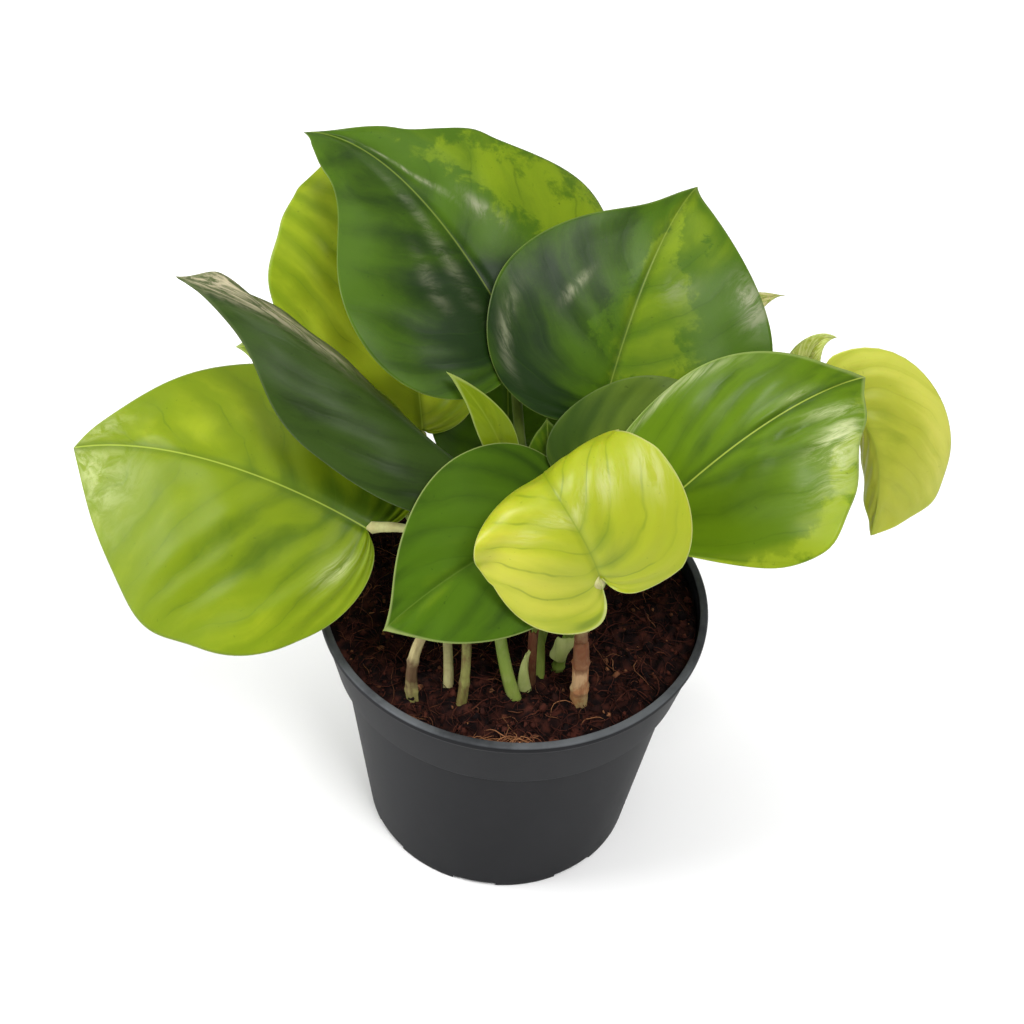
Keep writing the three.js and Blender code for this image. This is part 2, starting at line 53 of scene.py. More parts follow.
Point = tuple[float, float, float]

SOIL_TOP = 88.0
FOOT_Z = 79.3
FRONT = (0.0, -1.0, 0.0)
LEAF_SCATTER = (0.4, 1.0, 0.1)
LEAF_SCATTER_DEPTH = 0.0015


class Layer(Enum):
    """Names of the values that a mesh carries for its material."""

    VEINS = "veins"
    RIB = "rib_distance"
    EDGE = "edge_distance"
    TONE = "tone"
    # Share of the painted highlight and sheen colour, which also marks real pale streaks and tips.
    HIGHLIGHT_AND_PALE = "sheen"
    MARKS = "marks"
    HEIGHT = "height"


class Slot(Enum):
    """Material slots of the record."""

    POT = "pot"
    SOIL = "soil"
    LEAF_DARK = "leaf_dark"
    LEAF_GREEN = "leaf_green"
    LEAF_BRIGHT = "leaf_bright"
    LEAF_LIME = "leaf_lime"
    LEAF_OLIVE = "leaf_olive"
    STEM_GREEN = "stem_green"
    STEM_BROWN = "stem_brown"


def cubic(points: np.ndarray, t: np.ndarray) -> np.ndarray:
    """Cubic Bezier curve: the four points weighted by the Bernstein terms of t.

    Args:
        points: Four values or four points, first axis of length 4.
        t: Parameters from 0 to 1, of any shape.

    Returns:
        The curve's values, with the shape of t followed by that of one point.
    """
    points = np.asarray(points, float)
    t = np.asarray(t, float)
    r = 1.0 - t
    weights = np.stack([r**3, 3 * r * r * t, 3 * r * t * t, t**3], axis=-1)
    return weights @ points


def unit(vectors: np.ndarray) -> np.ndarray:
    """Vectors scaled to length 1 along the last axis."""
    return vectors / np.maximum(np.linalg.norm(vectors, axis=-1, keepdims=True), 1e-12)


def smoothstep(low: float, high: float, value: np.ndarray) -> np.ndarray:
    """Cubic step that rises from 0 at low to 1 at high."""
    share = np.clip((value - low) / (high - low), 0.0, 1.0)
    return share * share * (3.0 - 2.0 * share)


def ripples(x: np.ndarray, y: np.ndarray, wavelength: float, seed: int, waves: int = 9) -> np.ndarray:
    """Smooth uneven field: the mean of sine waves with seeded directions, lengths and phases.

    Args:
        x: First coordinate.
        y: Second coordinate, of the same shape.
        wavelength: Typical distance between crests, in the coordinates' unit.
        seed: Seed of the draw.
        waves: How many sine waves are summed.

    Returns:
        Values between about -1 and 1.
    """
    rng = np.random.default_rng(seed)
    total = np.zeros(np.shape(x))
    for angle, stretch, phase in zip(
        rng.uniform(0, math.tau, waves), rng.uniform(0.6, 1.6, waves), rng.uniform(0, math.tau, waves)
    ):
        turn = math.tau / (wavelength * stretch)
        total += np.sin(turn * (math.cos(angle) * x + math.sin(angle) * y) + phase)
    return total / math.sqrt(waves) * 0.8


class MeshPiece:
    """A mesh object made from arrays, with its values for materials, ready for the frame."""

    def __init__(self, name: str, points: np.ndarray, faces: list[list[int]]) -> None:
        """Puts the arrays into a new mesh object.

        Args:
            name: Name of the piece.
            points: Vertex positions in millimetres, one row each.
            faces: Vertex numbers of each face, anticlockwise seen from outside.
        """
        mesh = bpy.data.meshes.new(name)
        mesh.from_pydata((np.asarray(points, float) * METRE).tolist(), [], faces)
        mesh.polygons.foreach_set("use_smooth", np.ones(len(mesh.polygons), dtype=bool))
        mesh.update()
        self.mesh = mesh
        self.object = bpy.data.objects.new(name, mesh)
        bpy.context.scene.collection.objects.link(self.object)

    def carry(self, layer: Layer, values: np.ndarray) -> None:
        """Stores one number per vertex for the material."""
        made = self.mesh.attributes.new(layer.value, "FLOAT", "POINT")
        made.data.foreach_set("value", np.asarray(values, np.float32).ravel())

    def carry_uv(self, layer: Layer, pairs: np.ndarray) -> None:
        """Stores a UV map that is given per vertex."""
        corners = np.empty(len(self.mesh.loops), np.int32)
        self.mesh.loops.foreach_get("vertex_index", corners)
        made = self.mesh.uv_layers.new(name=layer.value)
        made.data.foreach_set("uv", np.asarray(pairs, np.float32)[corners].ravel())

    def dress(self, materials: list[bpy.types.Material], index: np.ndarray | None = None) -> None:
        """Gives the piece its materials, with the material number of each face."""
        for material in materials:
            self.mesh.materials.append(material)
        if index is not None:
            self.mesh.polygons.foreach_set("material_index", np.asarray(index, np.int32))
        self.mesh.update()

    def seat(self, slot: Slot, *nodes: str) -> bpy.types.Object:
        """Rides the piece on the plant's body and hides the CAD nodes that it takes the place of."""
        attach(self.object, "root")
        if nodes:
            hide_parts(*nodes)
        LOG.info("%s: %d faces", self.object.name, len(self.mesh.polygons))
        return self.object


def tube_faces(rings: int, sides: int) -> list[list[int]]:
    """Faces of a closed tube: quads between rings and one fan to a middle point at each end.

    Args:
        rings: Number of rings, each of `sides` points, numbered from 0 on.
        sides: Points in a ring.

    Returns:
        Faces whose last two vertex numbers after the rings are the end middles.
    """
    ring, side = np.meshgrid(np.arange(rings - 1), np.arange(sides), indexing="ij")
    here = ring * sides + side
    beside = ring * sides + (side + 1) % sides
    quads = np.stack([here, beside, beside + sides, here + sides], axis=-1).reshape(-1, 4)
    side = np.arange(sides)
    after = (side + 1) % sides
    last = (rings - 1) * sides
    low = np.stack([after, side, np.full(sides, rings * sides)], axis=-1)
    high = np.stack([last + side, last + after, np.full(sides, rings * sides + 1)], axis=-1)
    return quads.tolist() + low.tolist() + high.tolist()


def sweep(path: np.ndarray, radius: np.ndarray) -> np.ndarray:
    """Tube round a path: each ring lies across the path, and its first side faces the front.

    Args:
        path: Points of the centre line, one row each.
        radius: Radius at each ring and side, rings by sides.

    Returns:
        Ring points one after another, then the two end middles.
    """
    forward = unit(np.gradient(path, axis=0))
    first = unit(np.cross(np.cross(forward, np.asarray(FRONT, float)), forward))
    second = np.cross(forward, first)
    sides = radius.shape[1]
    angle = np.arange(sides) * math.tau / sides
    cos, sin = np.cos(angle)[None, :, None], np.sin(angle)[None, :, None]
    out = first[:, None, :] * cos + second[:, None, :] * sin
    rings = path[:, None, :] + out * radius[:, :, None]
    return np.vstack([rings.reshape(-1, 3), path[:1], path[-1:]])


class Pen:
    """Writes the nodes of one procedural material."""

    def __init__(self, name: str) -> None:
        """Starts a material with its surface shader."""
        self.material = bpy.data.materials.new(name)
        self.material.use_nodes = True
        self.tree = self.material.node_tree
        self.tree.nodes.clear()
        self.output = self.tree.nodes.new("ShaderNodeOutputMaterial")
        self.shader = self.tree.nodes.new("ShaderNodeBsdfPrincipled")
        self.link(self.shader.outputs["BSDF"], self.output.inputs["Surface"])

    def link(self, source: bpy.types.NodeSocket, target: bpy.types.NodeSocket) -> None:
        """Joins two sockets."""
        self.tree.links.new(source, target)

    def put(self, socket: bpy.types.NodeSocket, value: object) -> None:
        """Sets a socket to a plain value, or links it when the value is a socket."""
        if isinstance(value, bpy.types.NodeSocket):
            self.link(value, socket)
        elif isinstance(value, tuple) and len(value) == 3 and socket.type == "RGBA":
            socket.default_value = (*value, 1.0)
        else:
            socket.default_value = value

    def value(self, layer: Layer) -> bpy.types.NodeSocket:
        """A number that the mesh carries."""
        node = self.tree.nodes.new("ShaderNodeAttribute")
        node.attribute_name = layer.value
        return node.outputs["Fac"]

    def vein_coordinates(self) -> tuple[bpy.types.NodeSocket, bpy.types.NodeSocket]:
        """Vein order and place across the blade, from its UV map."""
        uv = self.tree.nodes.new("ShaderNodeUVMap")
        uv.uv_map = Layer.VEINS.value
        parts = self.tree.nodes.new("ShaderNodeSeparateXYZ")
        self.link(uv.outputs["UV"], parts.inputs["Vector"])
        return parts.outputs["X"], parts.outputs["Y"]

    def place(self) -> bpy.types.NodeSocket:
        """Object coordinates, in metres."""
        return self.tree.nodes.new("ShaderNodeTexCoord").outputs["Object"]

    def math(self, kind: str, a: object, b: object = 0.0, c: object = 0.0) -> bpy.types.NodeSocket:
        """One arithmetic step."""
        node = self.tree.nodes.new("ShaderNodeMath")
        node.operation = kind
        for socket, value in zip(node.inputs, (a, b, c)):
            self.put(socket, value)
        return node.outputs["Value"]

    def step(self, value: object, low: float, high: float, to_low: float = 0.0, to_high: float = 1.0):
        """Smooth step of a value from to_low at low to to_high at high."""
        node = self.tree.nodes.new("ShaderNodeMapRange")
        node.interpolation_type = "SMOOTHSTEP"
        for name, number in (("Value", value), ("From Min", low), ("From Max", high)):
            self.put(node.inputs[name], number)
        node.inputs["To Min"].default_value = to_low
        node.inputs["To Max"].default_value = to_high
        return node.outputs["Result"]

    def mix(self, share: object, a: object, b: object, blend: str = "MIX") -> bpy.types.NodeSocket:
        """Mix of two colours."""
        node = self.tree.nodes.new("ShaderNodeMix")
        node.data_type = "RGBA"
        node.blend_type = blend
        self.put(node.inputs["Factor"], share)
        colours = [socket for socket in node.inputs if socket.type == "RGBA"]
        self.put(colours[0], a)
        self.put(colours[1], b)
        return next(socket for socket in node.outputs if socket.type == "RGBA")

    def noise(self, where: object, scale: float, detail: float = 3.0, rough: float = 0.5, bend: float = 0.0):
        """Noise value from 0 to 1 over a vector."""
        node = self.tree.nodes.new("ShaderNodeTexNoise")
        self.put(node.inputs["Vector"], where)
        node.inputs["Scale"].default_value = scale
        node.inputs["Detail"].default_value = detail
        node.inputs["Roughness"].default_value = rough
        node.inputs["Distortion"].default_value = bend
        return node.outputs["Fac"]

    def upright(self, where: object) -> bpy.types.NodeSocket:
        """Height part of a vector."""
        parts = self.tree.nodes.new("ShaderNodeSeparateXYZ")
        self.link(where, parts.inputs["Vector"])
        return parts.outputs["Z"]

    def vector(self, x: object, y: object, z: object) -> bpy.types.NodeSocket:
        """Vector made of three numbers."""
        node = self.tree.nodes.new("ShaderNodeCombineXYZ")
        for socket, value in zip(node.inputs, (x, y, z)):
            self.put(socket, value)
        return node.outputs["Vector"]

    def stretch(self, where: object, scale: Point, turn: Point = (0.0, 0.0, 0.0)) -> bpy.types.NodeSocket:
        """Vector scaled and turned by a Mapping node."""
        node = self.tree.nodes.new("ShaderNodeMapping")
        self.put(node.inputs["Vector"], where)
        node.inputs["Scale"].default_value = scale
        node.inputs["Rotation"].default_value = turn
        return node.outputs["Vector"]

    def bump(self, height: object, strength: float, distance: float) -> None:
        """Adds a bump from a height to the shader's normal."""
        node = self.tree.nodes.new("ShaderNodeBump")
        node.inputs["Strength"].default_value = strength
        node.inputs["Distance"].default_value = distance
        self.put(node.inputs["Height"], height)
        if self.shader.inputs["Normal"].is_linked:
            earlier = self.shader.inputs["Normal"].links[0].from_socket
            self.link(earlier, node.inputs["Normal"])
        self.link(node.outputs["Normal"], self.shader.inputs["Normal"])

    def finish(self, **sockets: object) -> bpy.types.Material:
        """Sets the shader's own sockets by name, with underscores for spaces."""
        for name, value in sockets.items():
            self.put(self.shader.inputs[name.replace("_", " ")], value)
        return self.material


@dataclass(frozen=True)
class LeafFinish:
    """Finish of a blade: its colours from dark to light tone, and how it shines.

    Attributes:
        name: Name of the finish.
        dark: Colour where the blade's tone is 0.
        middle: Colour where the tone is one half.
        light: Colour where the tone is 1.
        vein: Colour of the lateral veins.
        rib: Colour of the midrib.
        margin: Colour of the thin line along the margin.
        back: Colour of the lower face.
        sheen: Colour of the painted highlights and sheen, also of the real pale streaks and tips.
        roughness: Roughness of the upper face.
        gloss: Specular level of the upper face.
        vein_share: How strongly the lateral veins are coloured.
        rib_share: How strongly the midrib is coloured.
        margin_share: How strongly the margin is coloured.
        marbling: How far the noise moves the tone.
        vein_valley_shade: How much darker the tone is along the lateral veins: painted shade in the dips
            between the blade's swellings.
        veins: Lateral veins from junction to tip on each side.
        glow: Weight of the light scattered inside the blade.
        mark_step: How far the tone jumps inside a jagged mark.
        vein_line: Half width of a coloured lateral vein, as a share of the way to the next.
        quill: Depth of the bump along the lateral veins.
    """

    name: str
    dark: Colour
    middle: Colour
    light: Colour
    vein: Colour
    rib: Colour
    margin: Colour
    back: Colour
    sheen: Colour = (0.26, 0.27, 0.17)
    roughness: float = 0.30
    gloss: float = 0.20
    vein_share: float = 0.2
    rib_share: float = 0.5
    margin_share: float = 0.45
    marbling: float = 0.5
    vein_valley_shade: float = 0.10
    veins: float = 7.0
    glow: float = 0.10
    mark_step: float = 0.24
    vein_line: float = 0.04
    quill: float = 0.05

    def upper(self) -> bpy.types.Material:
        """Material of the upper face."""
        pen = Pen(f"{self.name}_upper")
        order, across = pen.vein_coordinates()
        place = pen.place()
        wander = pen.math("MULTIPLY_ADD", pen.noise(place, 38.0, 3.0), 0.16, -0.08)
        phase = pen.math("MULTIPLY", pen.math("ADD", order, wander), self.veins)
        near = pen.math("PINGPONG", phase, 0.5)
        streak = pen.vector(phase, pen.math("MULTIPLY", across, 1.4), 0.0)
        hair = pen.vector(pen.math("MULTIPLY", phase, 5.0), pen.math("MULTIPLY", across, 1.6), 0.0)
        marble = pen.math("SUBTRACT", pen.noise(streak, 1.2, 5.0, 0.6, 0.8), 0.5)
        blotch = pen.math("SUBTRACT", pen.noise(place, 34.0, 5.0, 0.6), 0.5)
        fine = pen.math("SUBTRACT", pen.noise(hair, 2.0, 4.0, 0.6, 0.4), 0.5)
        # Painted shade: darker tone along the lateral veins, where the blade dips between its swellings.
        vein_valley_shade = pen.step(near, 0.0, 0.42, self.vein_valley_shade, 0.0)
        tone = pen.math("MULTIPLY_ADD", marble, self.marbling, pen.value(Layer.TONE))
        tone = pen.math("MULTIPLY_ADD", blotch, 1.1 * self.marbling, tone)
        tone = pen.math("MULTIPLY_ADD", fine, 0.12 * self.marbling, tone)
        tone = pen.math("SUBTRACT", tone, vein_valley_shade)
        jagged = pen.noise(place, 110.0, 5.0, 0.68, 0.3)
        marks = pen.math("MULTIPLY_ADD", pen.math("SUBTRACT", jagged, 0.5), 1.15, pen.value(Layer.MARKS))
        tone = pen.math("ADD", tone, pen.step(marks, 0.38, 0.60, 0.0, self.mark_step))
        tone = pen.math("SUBTRACT", tone, pen.step(marks, -0.56, -0.46, self.mark_step, 0.0))
        colour = pen.mix(pen.step(tone, 0.0, 0.5), self.dark, self.middle)
        colour = pen.mix(pen.step(tone, 0.5, 1.0), colour, self.light)
        speck = pen.noise(place, 700.0, 2.0, 0.6)
        colour = pen.mix(pen.step(speck, 0.68, 0.78, 0.0, 0.4), colour, self.dark)
        broken = pen.step(pen.noise(streak, 2.4, 3.0), 0.38, 0.6, 0.25 * self.vein_share, self.vein_share)
        inside = pen.step(pen.value(Layer.EDGE), 0.6, 9.0)
        line = pen.step(near, 0.0, self.vein_line, 1.0, 0.0)
        lateral = pen.math("MULTIPLY", line, pen.math("MULTIPLY", inside, broken))
        colour = pen.mix(lateral, colour, self.vein)
        # Painted highlights and sheen, broken up by noise; the same share paints the real pale streaks and
        # tips of some leaves.
        highlight_breakup = pen.noise(pen.vector(phase, across, 0.0), 3.2, 6.0, 0.7, 0.6)
        highlight_and_pale_share = pen.math("MULTIPLY", pen.value(Layer.HIGHLIGHT_AND_PALE), pen.step(highlight_breakup, 0.38, 0.64, 0.1, 1.0))
        colour = pen.mix(highlight_and_pale_share, colour, self.sheen)
        # Painted shade: a darker band on each side of the midrib, in its groove.
        beside = pen.step(pen.value(Layer.RIB), 0.3, 2.4, 0.7 * self.rib_share, 0.0)
        colour = pen.mix(beside, colour, self.dark)
        rib = pen.step(pen.value(Layer.RIB), 0.10, 0.32, self.rib_share, 0.0)
        colour = pen.mix(rib, colour, self.rib)
        rim = pen.step(pen.value(Layer.EDGE), 0.10, 0.42, self.margin_share, 0.0)
        colour = pen.mix(rim, colour, self.margin)
        lip_highlight_and_roughness = pen.math("MULTIPLY_ADD", pen.noise(place, 60.0, 4.0, 0.6), 0.16, self.roughness - 0.08)
        lip_highlight_and_roughness = pen.math("MULTIPLY_ADD", highlight_and_pale_share, 0.12, lip_highlight_and_roughness)
        pen.bump(pen.step(near, 0.0, 0.10, 0.0, 1.0), self.quill, 0.0003)
        pen.bump(fine, 0.06, 0.0004)
        pen.bump(pen.noise(place, 300.0, 4.0, 0.6), 0.05, 0.0006)
        pen.bump(pen.noise(place, 1500.0, 2.0, 0.5), 0.06, 0.0001)
        return pen.finish(
            Base_Color=colour,
            Roughness=lip_highlight_and_roughness,
            Specular_IOR_Level=self.gloss,
            Subsurface_Weight=self.glow,
            Subsurface_Radius=LEAF_SCATTER,
            Subsurface_Scale=LEAF_SCATTER_DEPTH,
        )

    def lower(self) -> bpy.types.Material:
        """Material of the lower face, paler and duller, with the veins a little raised."""
        pen = Pen(f"{self.name}_lower")
        order, across = pen.vein_coordinates()
        place = pen.place()
        phase = pen.math("MULTIPLY", order, self.veins)
        hair = pen.vector(pen.math("MULTIPLY", phase, 5.0), pen.math("MULTIPLY", across, 1.6), 0.0)
        near = pen.math("PINGPONG", phase, 0.5)
        line = pen.step(near, 0.0, 0.07, 1.0, 0.0)
        blotch = pen.noise(place, 50.0, 5.0, 0.6)
        fine = pen.noise(hair, 2.0, 4.0, 0.6)
        tone = pen.math("MULTIPLY_ADD", pen.value(Layer.TONE), 0.4, pen.math("MULTIPLY", blotch, 0.4))
        tone = pen.math("MULTIPLY_ADD", fine, 0.2, tone)
        colour = pen.mix(pen.step(tone, 0.1, 0.9), self.back, self.light)
        colour = pen.mix(pen.math("MULTIPLY", line, 0.3), colour, self.vein)
        colour = pen.mix(pen.step(pen.value(Layer.RIB), 0.4, 1.0, 0.8, 0.0), colour, self.vein)
        pen.bump(line, 0.3, 0.0003)
        pen.bump(pen.noise(place, 1200.0, 2.0, 0.5), 0.12, 0.0001)
        return pen.finish(
            Base_Color=colour,
            Roughness=0.55,
            Specular_IOR_Level=0.2,
            Subsurface_Weight=self.glow,
            Subsurface_Radius=LEAF_SCATTER,
            Subsurface_Scale=LEAF_SCATTER_DEPTH,
        )


DARK_LEAF = LeafFinish(
    "leaf_dark_green", dark=(0.006, 0.014, 0.002), middle=(0.026, 0.052, 0.006),
    light=(0.075, 0.118, 0.012), vein=(0.05, 0.08, 0.015), rib=(0.05, 0.08, 0.02),
    margin=(0.1, 0.13, 0.05), back=(0.08, 0.13, 0.03), sheen=(0.42, 0.37, 0.24), roughness=0.4,
    gloss=0.1, vein_share=0.08, rib_share=0.25, margin_share=0.35, glow=0.03,
)
PLAIN_DARK_LEAF = replace(DARK_LEAF, name="leaf_plain_dark", marbling=0.22, gloss=0.07)
GREEN_LEAF = LeafFinish(
    "leaf_mid_green", dark=(0.008, 0.022, 0.003), middle=(0.048, 0.102, 0.004),
    light=(0.155, 0.225, 0.006), vein=(0.02, 0.05, 0.003), rib=(0.22, 0.29, 0.04),
    margin=(0.16, 0.21, 0.05), back=(0.12, 0.18, 0.04), roughness=0.36, gloss=0.09, vein_share=0.25,
    rib_share=0.4, margin_share=0.4, marbling=0.34, glow=0.06,
)
FRESH_LEAF = replace(
    GREEN_LEAF, name="leaf_fresh_green", dark=(0.02, 0.05, 0.003), middle=(0.085, 0.155, 0.004),
    light=(0.23, 0.3, 0.012), vein=(0.03, 0.07, 0.003), rib=(0.3, 0.37, 0.05), margin=(0.3, 0.36, 0.12),
    roughness=0.3, gloss=0.1, rib_share=0.8, marbling=0.42, sheen=(0.45, 0.49, 0.25),
)
BRIGHT_LEAF = LeafFinish(
    "leaf_bright_green", dark=(0.05, 0.095, 0.002), middle=(0.14, 0.2, 0.003),
    light=(0.265, 0.325, 0.01), vein=(0.07, 0.13, 0.006), rib=(0.34, 0.42, 0.05),
    margin=(0.3, 0.34, 0.12), back=(0.2, 0.26, 0.04), sheen=(0.42, 0.46, 0.2), roughness=0.4,
    gloss=0.13, vein_share=0.34, rib_share=0.6, marbling=0.42, vein_valley_shade=0.16, veins=8.0, glow=0.12,
)
YOUNG_LEAF = replace(
    BRIGHT_LEAF, name="leaf_young_green", sheen=(0.55, 0.58, 0.2), rib_share=0.15, vein_share=0.1,
    vein_valley_shade=0.05,
)
CREAM_TIP_LEAF = replace(
    BRIGHT_LEAF, name="leaf_cream_tip", sheen=(0.56, 0.48, 0.24), rib_share=0.2, vein_share=0.1,
)
LIME_LEAF = LeafFinish(
    "leaf_yellow_lime", dark=(0.14, 0.19, 0.004), middle=(0.27, 0.31, 0.01), light=(0.4, 0.4, 0.03),
    vein=(0.11, 0.165, 0.005), rib=(0.13, 0.19, 0.006), margin=(0.5, 0.5, 0.24),
    back=(0.32, 0.34, 0.06), sheen=(0.5, 0.5, 0.26), roughness=0.34, gloss=0.24, vein_share=0.55,
    rib_share=0.5, marbling=0.42, vein_valley_shade=0.16, veins=7.0, vein_line=0.07, glow=0.18,
)
SHADE_LEAF = replace(
    GREEN_LEAF, name="leaf_shade_green", roughness=0.5, gloss=0.03, rib=(0.1, 0.16, 0.02),
    rib_share=0.35, margin=(0.3, 0.34, 0.12), margin_share=0.5, marbling=0.26,
)
OLIVE_LEAF = LeafFinish(
    "leaf_yellow_olive", dark=(0.19, 0.23, 0.01), middle=(0.32, 0.34, 0.026), light=(0.48, 0.47, 0.07),
    vein=(0.18, 0.21, 0.016), rib=(0.22, 0.25, 0.02), margin=(0.5, 0.49, 0.2), back=(0.36, 0.37, 0.08),
    sheen=(0.5, 0.48, 0.16), roughness=0.48, gloss=0.2, vein_share=0.22, marbling=0.5, vein_valley_shade=0.07,
    veins=8.0, vein_line=0.06, glow=0.2,
)


@dataclass(frozen=True)
class StalkFinish:
    """Finish of a petiole or stem: colours at foot and top, streaks, stains and a stained belt."""

    name: str
    foot: Colour
    top: Colour
    streak: Colour
    stain: Colour
    roughness: float = 0.45
    streak_share: float = 0.4
    stain_share: float = 0.0
    belt: Pair = (2.0, 3.0)
    belt_colour: Colour = (0.06, 0.02, 0.01)

    def material(self) -> bpy.types.Material:
        """Material that turns from the foot's colour to the top's, with long streaks and stains."""
        pen = Pen(self.name)
        place = pen.place()
        long = pen.noise(pen.stretch(place, (1.0, 1.0, 0.16)), 700.0, 4.0, 0.6)
        blotch = pen.noise(place, 160.0, 4.0, 0.6)
        spill = pen.noise(pen.stretch(place, (1.0, 1.0, 0.45)), 260.0, 5.0, 0.65, 0.4)
        height = pen.math("MULTIPLY_ADD", pen.math("SUBTRACT", blotch, 0.5), 0.5, pen.value(Layer.HEIGHT))
        colour = pen.mix(pen.step(height, 0.0, 0.6), self.foot, self.top)
        colour = pen.mix(pen.step(spill, 0.42, 0.6, 0.0, self.stain_share), colour, self.stain)
        colour = pen.mix(pen.step(long, 0.5, 0.8, 0.0, self.streak_share), colour, self.streak)
        low, high = self.belt
        above = pen.step(height, low - 0.10, low + 0.10, 0.0, 0.85)
        belt = pen.math("MULTIPLY", above, pen.step(height, high - 0.12, high + 0.12, 1.0, 0.0))
        colour = pen.mix(belt, colour, self.belt_colour)
        pen.bump(long, 0.3, 0.0003)
        pen.bump(spill, 0.2, 0.0006)
        return pen.finish(
            Base_Color=colour,
            Roughness=self.roughness,
            Specular_IOR_Level=0.12,
            Subsurface_Weight=0.08,
            Subsurface_Radius=(0.6, 0.8, 0.2),
            Subsurface_Scale=0.001,
        )


# Painted shade: a dark copy of the green petiole finish, for a petiole that rises in deep shade behind the
# front leaves.
PAINTED_SHADE_STALK = StalkFinish(
    "petiole_painted_shade", foot=(0.06, 0.1, 0.012), top=(0.045, 0.085, 0.008), streak=(0.03, 0.05, 0.006),
    stain=(0.09, 0.12, 0.02), roughness=0.5, streak_share=0.4, stain_share=0.3,
)
# Painted shade: pale green at the foot and dark towards the top, where the petiole reaches into the shade
# under the leaves.
PAINTED_SHADE_TOP_STALK = StalkFinish(
    "petiole_painted_shade_top", foot=(0.2, 0.26, 0.05), top=(0.055, 0.085, 0.008), streak=(0.03, 0.05, 0.006),
    stain=(0.09, 0.12, 0.02), roughness=0.5, streak_share=0.4, stain_share=0.3,
)
GREEN_STALK = StalkFinish(
    "petiole_green", foot=(0.2, 0.26, 0.05), top=(0.15, 0.24, 0.03), streak=(0.07, 0.12, 0.02),
    stain=(0.3, 0.32, 0.12), roughness=0.4, streak_share=0.4, stain_share=0.3,
)
PALE_STALK = StalkFinish(
    "petiole_pale", foot=(0.42, 0.38, 0.18), top=(0.44, 0.44, 0.19), streak=(0.2, 0.18, 0.08),
    stain=(0.3, 0.24, 0.11), roughness=0.5, streak_share=0.4, stain_share=0.5,
)
BROWN_FOOT_STALK = StalkFinish(
    "petiole_brown_foot", foot=(0.1, 0.035, 0.016), top=(0.44, 0.44, 0.19), streak=(0.2, 0.18, 0.08),
    stain=(0.16, 0.08, 0.03), roughness=0.5, streak_share=0.4, stain_share=0.4,
)
BROWN_STALK = StalkFinish(
    "stem_brown", foot=(0.24, 0.24, 0.06), top=(0.34, 0.29, 0.14), streak=(0.03, 0.011, 0.007),
    stain=(0.2, 0.15, 0.06), roughness=0.8, streak_share=0.35, stain_share=0.4, belt=(0.33, 0.66),
    belt_colour=(0.05, 0.017, 0.009),
)
TAN_STALK = StalkFinish(
    "stem_tan", foot=(0.3, 0.26, 0.09), top=(0.42, 0.27, 0.14), streak=(0.1, 0.03, 0.016),
    stain=(0.26, 0.1, 0.04), roughness=0.75, streak_share=0.5, stain_share=0.8, belt=(0.66, 2.0),
    belt_colour=(0.105, 0.034, 0.014),
)
OLIVE_STALK = StalkFinish(
    "stem_olive", foot=(0.17, 0.18, 0.04), top=(0.2, 0.2, 0.06), streak=(0.05, 0.03, 0.015),
    stain=(0.12, 0.07, 0.03), roughness=0.6, streak_share=0.6, stain_share=0.7,
)
SHEATH_STALK = StalkFinish(
    "stem_sheath", foot=(0.3, 0.36, 0.1), top=(0.36, 0.42, 0.13), streak=(0.13, 0.18, 0.04),
    stain=(0.42, 0.45, 0.18), roughness=0.5, streak_share=0.4, stain_share=0.6,
)
HUSK_STALK = StalkFinish(
    "stem_husk", foot=(0.036, 0.012, 0.006), top=(0.085, 0.026, 0.012), streak=(0.012, 0.005, 0.003),
    stain=(0.2, 0.12, 0.05), roughness=0.85, streak_share=0.8, stain_share=0.25,
)


@dataclass(frozen=True)
class Patch:
    """Soft oval on a blade where its tone, painted highlight and pale share, mark or height differs.

    Attributes:
        along: Middle, as a share of the way from junction to tip.
        across: Middle, from -1 at the left margin to 1 at the right one.
        length: Reach along the blade, as a share.
        width: Reach across the blade, as a share.
        tone: How far that value moves at the middle.
    """

    along: float
    across: float
    length: float
    width: float
    tone: float

    def at(self, along: np.ndarray, across: np.ndarray) -> np.ndarray:
        """Bell-shaped weight times the tone: exp of minus the squared distances."""
        far = ((along - self.along) / self.length) ** 2 + ((across - self.across) / self.width) ** 2
        return self.tone * np.exp(-far)

    @staticmethod
    def total(patches: tuple["Patch", ...], along: np.ndarray, across: np.ndarray) -> np.ndarray:
        """Sum of several patches, 0 where there are none."""
        return sum((patch.at(along, across) for patch in patches), np.zeros(len(along)))


